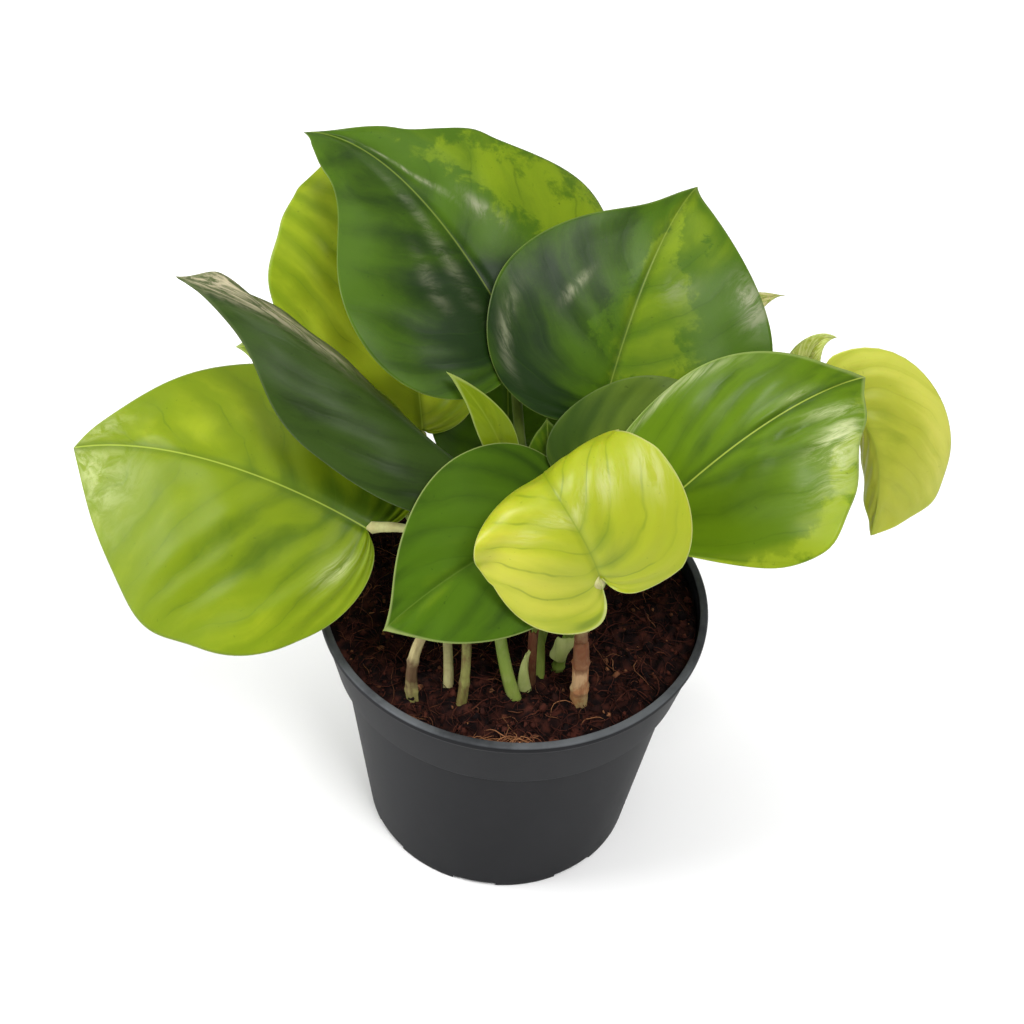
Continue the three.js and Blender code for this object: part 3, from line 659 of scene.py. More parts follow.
@dataclass(frozen=True)
class Blade:
    """Form of a leaf blade, in millimetres. Pairs are the left and right halves.

    Attributes:
        mid: Bezier points of the midrib: junction, two handles, tip.
        face: Where the upper face looks at the junction.
        face_tip: Where it looks at the tip.
        half: Greatest half width.
        widest: Where it lies, as a share of the midrib.
        lobe: How far the base lobe reaches behind the junction.
        sinus: How far the lobe stands off the midrib's line there, as a share of half.
        shoulder: How full the margin is between lobe and widest place.
        full: How full it is past the widest place.
        tip_width: Handle of the margin at the tip, as a share of half.
        taper: Handle of the margin at the tip, as a share of the rest of the midrib.
        fold: Slope of each half at the midrib, in degrees, at the junction and at the tip.
        curl: Turn of each half from midrib to margin, in degrees.
        swell: Stretches where the margin stands out or draws in: side, place, reach and width.
    """

    mid: tuple[Point, Point, Point, Point]
    face: Point
    face_tip: Point | None = None
    half: Pair = (28.0, 28.0)
    widest: Pair = (0.3, 0.3)
    lobe: Pair = (14.0, 14.0)
    sinus: Pair = (0.1, 0.1)
    shoulder: Pair = (0.1, 0.1)
    full: Pair = (0.55, 0.55)
    tip_width: Pair = (0.3, 0.3)
    taper: Pair = (0.22, 0.22)
    fold: tuple[Pair, Pair] = ((12.0, 8.0), (12.0, 8.0))
    curl: Pair = (-10.0, -10.0)
    swell: tuple[tuple[int, float, float, float], ...] = ()

    LOBE_SHARE = 0.42
    RIB_POWER = 2.2
    SWELL_FADE = 0.04
    VEIN_SWEEP = 0.30

    def midrib(self) -> tuple[np.ndarray, np.ndarray, np.ndarray]:
        """Length along the midrib, with its points and directions, finely sampled."""
        points = cubic(np.array(self.mid), np.linspace(0.0, 1.0, 1201))
        steps = np.linalg.norm(np.diff(points, axis=0), axis=1)
        return np.concatenate([[0.0], np.cumsum(steps)]), points, unit(np.gradient(points, axis=0))

    def margin(self, side: int, length: float, s: np.ndarray) -> tuple[np.ndarray, np.ndarray]:
        """Margin of one half: one Bezier curve round the lobe, one from the widest place to the tip.

        Args:
            side: 0 for the left half, 1 for the right.
            length: Length of the midrib.
            s: Parameter from 0 at the junction to 1 at the tip.

        Returns:
            Distance along the midrib and distance from it.
        """
        half, lobe, widest = self.half[side], self.lobe[side], self.widest[side] * length
        rest = length - widest
        low = np.clip(s / self.LOBE_SHARE, 0.0, 1.0)
        high = np.clip((s - self.LOBE_SHARE) / (1.0 - self.LOBE_SHARE), 0.0, 1.0)
        shoulder = -1.2 * lobe + self.shoulder[side] * widest
        low_along = cubic(np.array([0.0, -1.5 * lobe, shoulder, widest]), low)
        low_out = cubic(np.array([0.8, self.sinus[side] * half, half, half]), low)
        end = length - self.taper[side] * rest
        high_along = cubic(np.array([widest, widest + self.full[side] * rest, end, length]), high)
        high_out = cubic(np.array([half, half, self.tip_width[side] * half, 0.0]), high)
        in_lobe = s <= self.LOBE_SHARE
        out = np.where(in_lobe, low_out, high_out) + self.swelling(side, s)
        return np.where(in_lobe, low_along, high_along), out

    def swelling(self, side: int, s: np.ndarray) -> np.ndarray:
        """Width that the swells add on one side: bells of s that fade out at junction and tip."""
        fade = np.clip(s / self.SWELL_FADE, 0.0, 1.0) * np.clip((1.0 - s) / self.SWELL_FADE, 0.0, 1.0)
        mine = [swell[1:] for swell in self.swell if swell[0] == side]
        bells = [width * np.exp(-(((s - at) / reach) ** 2)) for at, reach, width in mine]
        return fade * sum(bells, np.zeros(np.shape(s)))

    def surface(self, s: np.ndarray, v: np.ndarray) -> dict[str, np.ndarray]:
        """Middle surface: arcs of circles that leave the midrib at the fold's slope.

        A point lies at a share |v| of the way from the midrib to the margin. Its distance across
        is bent into an arc that starts at the fold's slope and turns by the curl at full width.

        Args:
            s: Parameter along the blade, from 0 to 1.
            v: Parameter across it, from -1 at the left margin to 1 at the right one.

        Returns:
            Points, normals, and distances along, across and to the margin.
        """
        run, points, heads = self.midrib()
        length = float(run[-1])
        share_out = np.abs(v)
        right = v >= 0
        rib = length * s**self.RIB_POWER
        left_margin, right_margin = self.margin(0, length, s), self.margin(1, length, s)
        edge_along = np.where(right, right_margin[0], left_margin[0])
        edge_out = np.where(right, right_margin[1], left_margin[1])
        along = rib + (edge_along - rib) * share_out
        out = edge_out * share_out
        at = np.clip(along, 0.0, length)
        origin = np.stack([np.interp(at, run, points[:, i]) for i in range(3)], axis=-1)
        ahead = unit(np.stack([np.interp(at, run, heads[:, i]) for i in range(3)], axis=-1))
        origin = origin + ahead * np.minimum(along, 0.0)[..., None]
        part = (at / length)[..., None]
        start = unit(np.array(self.face, float))
        end = unit(np.array(self.face_tip or self.face, float))
        across = unit(np.cross(ahead, start + (end - start) * part))
        up = np.cross(across, ahead)
        part = part[..., 0]
        slopes = [self.fold[i][0] + (self.fold[i][1] - self.fold[i][0]) * part for i in (0, 1)]
        slope = np.radians(np.where(right, slopes[1], slopes[0]))
        bends = [math.radians(self.curl[i]) / self.half[i] for i in (0, 1)]
        bend = np.where(right, bends[1], bends[0])
        angle = slope + bend * out
        wide = (np.sin(angle) - np.sin(slope)) / bend
        rise = (np.cos(slope) - np.cos(angle)) / bend
        sign = np.where(right, 1.0, -1.0)
        spot = origin + across * (sign * wide)[..., None] + up * rise[..., None]
        normal = unit(up * np.cos(angle)[..., None] - across * (sign * np.sin(angle))[..., None])
        return {
            "points": spot,
            "normals": normal,
            "along": along,
            "out": out,
            "edge": edge_out * (1.0 - share_out),
        }

    def vein_order(self, s: np.ndarray, v: np.ndarray) -> np.ndarray:
        """Which lateral vein a point lies on: s drawn back towards the junction with |v|."""
        sweep_back = self.VEIN_SWEEP * np.abs(v) ** 1.2
        return (s - sweep_back) / (1.0 - sweep_back)


@dataclass(frozen=True)
class Stalk:
    """Petiole of a leaf, in millimetres.

    Attributes:
        foot: Where it starts; without a third number, in the soil.
        rise: Height of the first handle over the foot.
        lean: How far that handle leans.
        arrive: Handle from which it reaches the blade, from the junction.
        radius: Its radius.
    """

    foot: tuple[float, ...]
    rise: float
    lean: Pair
    arrive: Point
    radius: float

    def path(self, junction: Point, count: int) -> np.ndarray:
        """Bezier curve from the foot to the junction."""
        foot = np.array([*self.foot[:2], self.foot[2] if len(self.foot) > 2 else FOOT_Z])
        low = foot + np.array([*self.lean, self.rise])
        end = np.array(junction, float)
        points = np.stack([foot, low, end + np.array(self.arrive), end])
        return cubic(points, np.linspace(0.0, 1.0, count))


@dataclass(frozen=True)
class Relief:
    """Fine relief of a blade, in millimetres.

    Attributes:
        groove: Depth of the midrib's groove.
        quilt: Height of the swellings between lateral veins.
        bumps: Height of the broad uneven swellings.
        spacing: Distance between those swellings.
        ripple: Height of the waves along the margin.
        waves: Waves from junction to tip.
        lifts: Stretches that stand up or sink, each with its height as the patch's tone.
    """

    groove: float = 0.5
    quilt: float = 0.5
    bumps: float = 0.9
    spacing: float = 26.0
    ripple: float = 0.5
    waves: float = 3.5
    lifts: tuple[Patch, ...] = ()


@dataclass
class Leaf:
    """A leaf: its blade and its petiole, which stand for one CAD node.

    Attributes:
        name: Name after the prefix of the CAD node.
        blade: Form of the blade.
        stalk: Form of the petiole.
        finish: Finish of the blade.
        slot: Material slot of the record.
        tone: Tone of the blade away from its patches.
        patches: Where the tone differs; some of them are painted shade and painted light.
        highlights_and_pale_streaks: Where painted highlights and sheen lie, and the real pale streaks and
            tips of some leaves.
        marks: Where jagged marks lie, light above 0 and dark below.
        relief: Fine relief.
        seed: Seed of the uneven swellings.
        grid: Rows from junction to tip and columns on each half.
        stalk_finish: Finish of the petiole.
        knuckle: How much the petiole widens where it joins the blade.
    """

    name: str
    blade: Blade
    stalk: Stalk
    finish: LeafFinish
    slot: Slot
    tone: float = 0.5
    patches: tuple[Patch, ...] = ()
    highlights_and_pale_streaks: tuple[Patch, ...] = ()
    marks: tuple[Patch, ...] = ()
    relief: Relief = field(default_factory=Relief)
    seed: int = 1
    grid: tuple[int, int] = (104, 40)
    stalk_finish: StalkFinish = GREEN_STALK
    knuckle: float = 0.1

    HALF_THICKNESS = 0.30
    EDGE_THICKNESS = 0.16
    STALK_RINGS = 60
    STALK_SIDES = 16
    FOOT_SWELL = 0.35
    STALK_TAPER = 0.12
    KNEE_SWELL = 0.2
    KNEE_PLACE = 0.93
    KNEE_REACH = 0.045
    KNUCKLE_REACH = 0.03
    END_START = 0.97
    END_DRAWN = 0.96
    CHANNEL_DEPTH = 0.16
    CHANNEL_WIDTH = 0.5

    def relief_height(self, s: np.ndarray, v: np.ndarray, form: dict[str, np.ndarray]) -> np.ndarray:
        """Height of the relief: groove at the midrib, swellings between veins, waves at the margin.

        The groove is a bell of the distance from the midrib. The swellings are a squared sine of
        the vein order, faded at midrib and margin. The waves are a sine along the margin.
        """
        relief = self.relief
        out = form["out"]
        share = np.abs(v)
        fade_tip = smoothstep(0.0, 0.12, 1.0 - s) * smoothstep(0.0, 0.10, s)
        groove = -relief.groove * np.exp(-((out / 1.3) ** 2)) * smoothstep(0.0, 0.5, 1.0 - s)
        order = self.blade.vein_order(s, v) * self.finish.veins
        body = smoothstep(0.0, 0.25, share) * smoothstep(0.0, 0.35, 1.0 - share)
        uneven = 0.75 + 0.6 * ripples(s * 3.0, v * 1.5, 1.6, self.seed + 50)
        quilt = relief.quilt * (np.sin(math.pi * order) ** 2 - 0.5) * body * uneven
        side = np.where(v >= 0, 1.0, -1.0)
        bumps = relief.bumps * ripples(form["along"], side * out, relief.spacing, self.seed) * body
        turn = math.tau * relief.waves * s + np.where(v >= 0, 0.0, 1.7) + self.seed
        wave = relief.ripple * share**3 * np.sin(turn)
        return (groove + quilt + bumps + wave) * fade_tip + Patch.total(relief.lifts, s, v)

    def blade_arrays(self) -> tuple[np.ndarray, list[list[int]], dict[Layer, np.ndarray], int]:
        """Points, faces and carried values of the blade's two faces, joined round the margin."""
        rows, columns = self.grid
        s = np.linspace(0.0, 1.0, rows + 1)[1:-1]
        v = np.linspace(-1.0, 1.0, 2 * columns + 1)
        v = np.sign(v) * np.abs(v) ** 0.9
        grid_s, grid_v = np.meshgrid(s, v, indexing="ij")
        flat_s = np.concatenate([[0.0], grid_s.ravel(), [1.0]])
        flat_v = np.concatenate([[0.0], grid_v.ravel(), [0.0]])
        form = self.blade.surface(flat_s, flat_v)
        lift = self.relief_height(flat_s, flat_v, form)
        middle = form["points"] + form["normals"] * lift[:, None]
        thick = self.HALF_THICKNESS + (self.EDGE_THICKNESS - self.HALF_THICKNESS) * np.abs(flat_v) ** 6
        thick[-1] = self.EDGE_THICKNESS
        offset = form["normals"] * thick[:, None]
        points = np.vstack([middle + offset, middle - offset])
        count = len(flat_s)
        wide = len(v)
        row, column = np.meshgrid(np.arange(len(s) - 1), np.arange(wide - 1), indexing="ij")
        near = 1 + row * wide + column
        quads = np.stack([near, near + 1, near + wide + 1, near + wide], axis=-1).reshape(-1, 4)
        column = np.arange(wide - 1)
        first = 1 + column
        last = 1 + (len(s) - 1) * wide + column
        tip = np.full(wide - 1, count - 1)
        fan_low = np.stack([np.zeros(wide - 1, int), first + 1, first], axis=-1)
        fan_high = np.stack([tip, last, last + 1], axis=-1)
        left = np.concatenate([[0], 1 + np.arange(len(s)) * wide, [count - 1]])
        right = np.concatenate([[count - 1], (1 + np.arange(len(s)) * wide + wide - 1)[::-1], [0]])
        corners = [(rim[1:], rim[1:] + count, rim[:-1] + count, rim[:-1]) for rim in (left, right)]
        rims = [np.stack(four, axis=-1) for four in corners]
        upper = quads.tolist() + fan_low.tolist() + fan_high.tolist()
        lower = [[count + i for i in reversed(face)] for face in upper]
        faces = upper + lower + rims[0].tolist() + rims[1].tolist()
        layers = (self.patches, self.highlights_and_pale_streaks, self.marks)
        tone, highlight_and_pale_share, marks = (Patch.total(layer, flat_s, flat_v) for layer in layers)
        carried = {
            Layer.RIB: np.tile(form["out"], 2),
            Layer.EDGE: np.tile(form["edge"], 2),
            Layer.TONE: np.tile(self.tone + tone, 2),
            Layer.HIGHLIGHT_AND_PALE: np.tile(np.clip(highlight_and_pale_share, 0.0, 1.0), 2),
            Layer.MARKS: np.tile(marks, 2),
            Layer.VEINS: np.tile(np.stack([self.blade.vein_order(flat_s, flat_v), flat_v], axis=-1), (2, 1)),
        }
        return points, faces, carried, len(upper)

    def build_blade(self) -> None:
        """Makes the blade, with the upper finish on its upper face and margin."""
        points, faces, carried, upper = self.blade_arrays()
        piece = MeshPiece(f"blade_{self.name}", points, faces)
        for layer in (Layer.RIB, Layer.EDGE, Layer.TONE, Layer.HIGHLIGHT_AND_PALE, Layer.MARKS):
            piece.carry(layer, carried[layer])
        piece.carry_uv(Layer.VEINS, carried[Layer.VEINS])
        index = np.zeros(len(faces), int)
        index[upper : 2 * upper] = 1
        piece.dress([Finishes.of(self.finish, "upper"), Finishes.of(self.finish, "lower")], index)
        piece.seat(self.slot, f"leaf_{self.name}")

    def build_stalk(self) -> None:
        """Makes the petiole: a tube with a channel, a wide foot, a swollen knee and a rounded end."""
        rings, sides = self.STALK_RINGS, self.STALK_SIDES
        share = np.linspace(0.0, 1.0, rings)[:, None]
        angle = (np.arange(sides) * math.tau / sides)[None, :]
        knee = self.KNEE_SWELL * np.exp(-(((share - self.KNEE_PLACE) / self.KNEE_REACH) ** 2))
        girth = 1.0 + self.FOOT_SWELL * (1.0 - share) ** 4 + knee - self.STALK_TAPER * share
        girth = girth + self.knuckle * np.exp(-(((1.0 - share) / self.KNUCKLE_REACH) ** 2))
        girth = girth * np.sqrt(1.0 - self.END_DRAWN * smoothstep(self.END_START, 1.0, share) ** 2)
        from_front = np.minimum(angle, math.tau - angle)
        channel = 1.0 - self.CHANNEL_DEPTH * np.exp(-((from_front / self.CHANNEL_WIDTH) ** 2))
        path = self.stalk.path(self.blade.mid[0], rings)
        points = sweep(path, self.stalk.radius * girth * channel)
        piece = MeshPiece(f"petiole_{self.name}", points, tube_faces(rings, sides))
        height = np.concatenate([np.repeat(share.ravel(), sides), [0.0, 1.0]])
        piece.carry(Layer.HEIGHT, height)
        piece.dress([Finishes.of(self.stalk_finish, "material")])
        piece.seat(Slot.STEM_GREEN, f"leaf_{self.name}")

    def build(self) -> None:
        """Makes both pieces of the leaf."""
        self.build_blade()
        self.build_stalk()


class Finishes:
    """Materials already made, so that pieces with one finish share it."""

    made: dict[tuple[str, str], bpy.types.Material] = {}

    @classmethod
    def of(cls, finish: object, part: str) -> bpy.types.Material:
        """The material that a finish's method makes, made once."""
        key = (finish.name, part)
        if key not in cls.made:
            cls.made[key] = getattr(finish, part)()
        return cls.made[key]


@dataclass(frozen=True)
class PotFinish:
    """Finish of the nursery pot: matt plastic with fine grain, dust, a few scuffs and a painted highlight
    along the lip.
    """

    name: str = "anthracite_plastic"
    base: Colour = (0.0095, 0.0098, 0.0112)
    dust: Colour = (0.0175, 0.018, 0.020)
    lip_highlight_and_roughness: Colour = (0.16, 0.17, 0.18)
    lip_highlight_share: float = 0.55
    roughness: float = 0.50

    def material(self) -> bpy.types.Material:
        """Material of the pot."""
        pen = Pen(self.name)
        place = pen.place()
        cloud = pen.noise(pen.stretch(place, (1.0, 1.0, 0.5)), 45.0, 5.0, 0.6)
        grain = pen.noise(place, 2600.0, 2.0, 0.5)
        scuff = pen.noise(pen.stretch(place, (1.0, 1.0, 14.0)), 60.0, 6.0, 0.7)
        colour = pen.mix(pen.step(cloud, 0.42, 0.8, 0.0, 0.55), self.base, self.dust)
        colour = pen.mix(pen.step(scuff, 0.62, 0.75, 0.0, 0.35), colour, self.dust)
        height = pen.upright(place)
        # Painted highlight: a pale broken line along the top of the lip.
        lip_highlight_and_roughness = pen.math("MULTIPLY", pen.step(height, 0.0912, 0.0918), pen.step(cloud, 0.30, 0.62, 0.25, 1.0))
        colour = pen.mix(pen.math("MULTIPLY", lip_highlight_and_roughness, self.lip_highlight_share), colour, self.lip_highlight_and_roughness)
        gloss = pen.math("MULTIPLY_ADD", cloud, 0.14, self.roughness - 0.07)
        pen.bump(grain, 0.14, 0.0001)
        pen.bump(cloud, 0.10, 0.0010)
        return pen.finish(Base_Color=colour, Roughness=gloss, Specular_IOR_Level=0.06)


@dataclass(frozen=True)
class CoirFinish:
    """Finish of the potting mix: dark crumbs with tan and golden fibres by tone."""

    name: str = "coir_soil"
    damp: Colour = (0.0045, 0.0016, 0.0018)
    brown: Colour = (0.066, 0.0175, 0.011)
    golden: Colour = (0.34, 0.15, 0.065)

    def material(self) -> bpy.types.Material:
        """Material of the potting mix."""
        pen = Pen(self.name)
        place = pen.place()
        cloud = pen.noise(place, 260.0, 5.0, 0.65)
        tone = pen.math("MULTIPLY_ADD", pen.math("SUBTRACT", cloud, 0.5), 0.35, pen.value(Layer.TONE))
        colour = pen.mix(pen.step(tone, 0.05, 0.5), self.damp, self.brown)
        colour = pen.mix(pen.step(tone, 0.5, 1.0), colour, self.golden)
        pen.bump(pen.noise(place, 900.0, 4.0, 0.65), 0.6, 0.0006)
        return pen.finish(Base_Color=colour, Roughness=0.88, Specular_IOR_Level=0.12)


class NurseryPot:
    """The round tapered pot, with its rim, foot ring, notches and drain holes."""

    SEGMENTS = 288
    WALL = 1.2
    NOTCHES = 8
    NOTCH_WIDTH = 14.0
    NOTCH_HEIGHT = 1.8
    NOTCH_ANGLE = -97.0
    DRAIN_RING = 36.2
    DRAIN_RADIUS = 2.8
    DRAIN_ANGLE = -74.5

    @staticmethod
    def inner_radius(z: float) -> float:
        """Radius of the inner wall at a height."""
        if z > 70.0:
            return 55.0 + (z - 70.0) / 19.4 * 4.4 - NurseryPot.WALL
        return 43.2 + z / 70.0 * 9.4 - NurseryPot.WALL

    @staticmethod
    def rounded(corners: list[tuple[float, float, float]], steps: int = 5) -> np.ndarray:
        """Profile with each corner rounded by a quadratic curve.

        Args:
            corners: Radius, height and rounding distance of each corner.
            steps: Points on each rounded corner.

        Returns:
            Radius and height of each point of the profile.
        """
        points = np.array([corner[:2] for corner in corners])
        made = []
        for i, (radius, height, reach) in enumerate(corners):
            if reach == 0.0 or i in (0, len(corners) - 1):
                made.append(points[i : i + 1])
                continue
            back = points[i - 1] - points[i]
            on = points[i + 1] - points[i]
            start = points[i] + back / np.linalg.norm(back) * reach
            end = points[i] + on / np.linalg.norm(on) * reach
            t = np.linspace(0.0, 1.0, steps)[:, None]
            made.append(start * (1 - t) ** 2 + 2 * points[i] * t * (1 - t) + end * t**2)
        return np.vstack(made)

    def profile(self) -> np.ndarray:
        """Closed half section, from the underside's middle round the outside to the inside's middle."""
        inner = self.inner_radius
        return self.rounded(
            [
                (0.0, 0.0, 0.0),
                (31.9, 0.0, 0.5),
                (32.8, 3.0, 0.5),
                (39.4, 3.0, 0.5),
                (40.2, 0.0, 0.4),
                (43.0, 0.0, 0.9),
                (43.36, 2.6, 0.0),
                (52.6, 69.2, 0.6),
                (55.0, 70.1, 0.7),
                (59.2, 88.9, 0.5),
                (60.0, 89.7, 0.6),
                (60.0, 92.0, 0.9),
                (57.4, 92.0, 0.8),
                (inner(88.2), 88.2, 0.6),
                (inner(71.2), 71.2, 0.6),
                (inner(68.8), 68.8, 0.6),
                (inner(4.2), 4.2, 0.6),
                (31.6, 4.2, 0.5),
                (30.8, 1.2, 0.5),
                (0.0, 1.2, 0.0),
            ]
        )

    def cutter(self) -> bpy.types.Object:
        """Boxes for the notches and short rods for the drain holes, as one helper object."""
        points, faces = [], []
        for number in range(self.NOTCHES):
            turn = math.radians(self.NOTCH_ANGLE + number * 45.0)
            out = np.array([math.cos(turn), math.sin(turn), 0.0])
            side = np.array([-math.sin(turn), math.cos(turn), 0.0]) * self.NOTCH_WIDTH / 2
            low, high = np.array([0, 0, -2.0]), np.array([0, 0, self.NOTCH_HEIGHT])
            start = len(points)
            for level in (low, high):
                points += [out * 38.0 - side + level, out * 46.0 - side + level]
                points += [out * 46.0 + side + level, out * 38.0 + side + level]
            box = [[0, 3, 2, 1], [4, 5, 6, 7], [0, 1, 5, 4], [1, 2, 6, 5], [2, 3, 7, 6], [3, 0, 4, 7]]
            faces += [[start + i for i in face] for face in box]
        sides = 40
        angle = np.arange(sides) * math.tau / sides
        for number in range(self.NOTCHES):
            turn = math.radians(self.DRAIN_ANGLE + number * 45.0)
            middle = np.array([math.cos(turn), math.sin(turn)]) * self.DRAIN_RING
            ring = middle + np.stack([np.cos(angle), np.sin(angle)], axis=-1) * self.DRAIN_RADIUS
            start = len(points)
            points += [np.array([*spot, z]) for z in (1.0, 6.0) for spot in ring]
            faces.append([start + i for i in reversed(range(sides))])
            faces.append([start + sides + i for i in range(sides)])
            faces += [
                [start + i, start + (i + 1) % sides, start + sides + (i + 1) % sides, start + sides + i]
                for i in range(sides)
            ]
        mesh = bpy.data.meshes.new("pot_cutter")
        mesh.from_pydata([tuple(np.asarray(point) * METRE) for point in points], [], faces)
        helper = bpy.data.objects.new("pot_cutter", mesh)
        bpy.context.scene.collection.objects.link(helper)
        return helper

    def build(self) -> None:
        """Turns the profile, cuts notches and drain holes, and dresses the pot."""
        profile = self.profile()
        rings = profile[1:-1]
        angle = np.arange(self.SEGMENTS) * math.tau / self.SEGMENTS
        spots = np.stack(
            [
                rings[:, :1] * np.cos(angle)[None, :],
                rings[:, :1] * np.sin(angle)[None, :],
                np.repeat(rings[:, 1:], self.SEGMENTS, axis=1),
            ],
            axis=-1,
        ).reshape(-1, 3)
        points = np.vstack([spots, [[0, 0, profile[0, 1]], [0, 0, profile[-1, 1]]]])
        piece = MeshPiece("nursery_pot", points, tube_faces(len(rings), self.SEGMENTS))
        helper = self.cutter()
        cut = piece.object.modifiers.new("cut", "BOOLEAN")
        cut.operation = "DIFFERENCE"
        cut.solver = "EXACT"
        cut.object = helper
        graph = bpy.context.evaluated_depsgraph_get()
        made = bpy.data.meshes.new_from_object(piece.object.evaluated_get(graph))
        piece.object.modifiers.clear()
        piece.object.data = made
        piece.mesh = made
        bpy.data.objects.remove(helper, do_unlink=True)
        made.set_sharp_from_angle(angle=math.radians(40.0))
        made.materials.clear()
        piece.dress([Finishes.of(PotFinish(), "material")])
        piece.seat(Slot.POT, "pot")


class CoirSoil:
    """The potting mix: a lumpy body with loose fibres and crumbs on it."""

    RADIUS = 57.0
    RINGS = 84
    SECTORS = 240
    FIBRES = 1600
    CRUMBS = 2400
    TUFT = 70
    TUFT_PLACE = ((4.0, 6.5), (-55.0, 0.9))
    MOUND_HEIGHT = 1.5
    MOUND_SPREAD = 14.0
    WALL_GAP = 0.3
    WALL_HEIGHTS = (84.5, 71.6, 68.4, 30.0, 4.6)
    FEET = ((-27, -42), (-12.5, -42.4), (5.7, -38), (8.9, -30), (21.7, -37), (14.4, -24.6), (-17.4, -38.5))

    @staticmethod
    def height(x: np.ndarray, y: np.ndarray) -> np.ndarray:
        """Broad relief of the top: two products and sums of sines, 1.2 mm high, falling at the wall."""
        wave = 0.6 * np.sin(0.11 * x + 0.6) * np.cos(0.13 * y - 0.4) + 0.4 * np.sin(0.29 * x - 0.21 * y + 1.3)
        fall = smoothstep(48.0, 57.5, np.hypot(x, y))
        return SOIL_TOP + 1.2 * wave * (1.0 - fall) - 2.0 * fall

    @classmethod
    def rough_height(cls, x: np.ndarray, y: np.ndarray) -> np.ndarray:
        """Relief with crumbly lumps of 8, 3 and 1.4 mm, and mounds round the feet of the stems."""
        lumps = 0.8 * ripples(x, y, 8.0, 31, 24)
        lumps = lumps + 0.55 * ripples(x, y, 3.2, 32, 24) + 0.35 * ripples(x, y, 1.4, 33, 24)
        far = [(x - foot[0]) ** 2 + (y - foot[1]) ** 2 for foot in cls.FEET]
        mounds = sum(np.exp(-square / cls.MOUND_SPREAD) for square in far)
        return cls.height(x, y) + lumps * 0.9 - 0.3 + cls.MOUND_HEIGHT * mounds

    def body(self) -> tuple[np.ndarray, list[list[int]], np.ndarray]:
        """Closed body: rough top in rings, sides along the pot's wall and a flat underside."""
        top = self.RADIUS * (np.arange(1, self.RINGS + 1) / self.RINGS) ** 0.8
        angle = np.arange(self.SECTORS) * math.tau / self.SECTORS
        x = top[:, None] * np.cos(angle)[None, :]
        y = top[:, None] * np.sin(angle)[None, :]
        z = self.rough_height(x, y)
        rings = [np.stack([x[i], y[i], z[i]], axis=-1) for i in range(self.RINGS)]
        for level in self.WALL_HEIGHTS:
            radius = NurseryPot.inner_radius(level) - self.WALL_GAP
            flat = [np.cos(angle) * radius, np.sin(angle) * radius, np.full(self.SECTORS, level)]
            rings.append(np.stack(flat, axis=-1))
        rings = rings[::-1]
        crown = float(self.rough_height(np.array(0.0), np.array(0.0)))
        middle = np.array([[0.0, 0.0, self.WALL_HEIGHTS[-1]], [0.0, 0.0, crown]])
        points = np.vstack([np.vstack(rings), middle])
        faces = tube_faces(len(rings), self.SECTORS)
        tone = 0.16 + 0.16 * ripples(points[:, 0], points[:, 1], 5.0, 41, 16)
        return points, faces, tone

    def fibres(
        self,
        middles: np.ndarray,
        lengths: np.ndarray,
        turns: np.ndarray,
        thick: np.ndarray,
        lift: np.ndarray,
        seed: int,
    ) -> tuple[np.ndarray, list[list[int]], int]:
        """Bent three-sided fibres that follow the soil's top.

        Each is a parabola in plan: half its length runs each way along its turn, its bow is drawn
        by the seed, and its ends dip into the soil.
        """
        rng = np.random.default_rng(seed)
        steps, sides = 8, 3
        count = len(lengths)
        t = np.linspace(-1.0, 1.0, steps)[None, :]
        bow = rng.normal(0.0, 0.22, count)[:, None]
        along = t * lengths[:, None] / 2
        over = (t**2 - 0.4) * bow * lengths[:, None] + 0.03 * lengths[:, None] * np.sin(5 * t + bow * 40)
        cos, sin = np.cos(turns)[:, None], np.sin(turns)[:, None]
        x = middles[:, :1] + along * cos - over * sin
        y = middles[:, 1:] + along * sin + over * cos
        far = np.hypot(x, y)
        scale = np.minimum(1.0, 56.6 / far)
        x, y = x * scale, y * scale
        z = self.height(x, y) + lift[:, None] * (1.0 - t**2) + rng.uniform(-0.1, 0.5, count)[:, None]
        path = np.stack([x, y, z], axis=-1)
        ahead = unit(np.gradient(path, axis=1))
        first = unit(np.cross(ahead, [0.0, 0.0, 1.0]))
        second = np.cross(first, ahead)
        angle = np.arange(sides) * math.tau / sides
        radius = thick[:, None] * (1.0 - 0.6 * np.abs(t) ** 3)
        out = first[:, :, None, :] * np.cos(angle)[:, None] + second[:, :, None, :] * np.sin(angle)[:, None]
        points = (path[:, :, None, :] + out * radius[:, :, None, None]).reshape(-1, 3)
        ring, side = np.meshgrid(np.arange(steps - 1), np.arange(sides), indexing="ij")
        here = (ring * sides + side).ravel()
        beside = (ring * sides + (side + 1) % sides).ravel()
        quads = np.stack([here, beside, beside + sides, here + sides], axis=-1)
        start = (np.arange(count) * steps * sides)[:, None, None]
        faces = (quads[None] + start).reshape(-1, 4).tolist()
        last = (steps - 1) * sides
        ends = start[:, 0] + np.array([[2, 1, 0]])
        tips = start[:, 0] + np.array([[last, last + 1, last + 2]])
        return points, faces + ends.tolist() + tips.tolist(), steps * sides

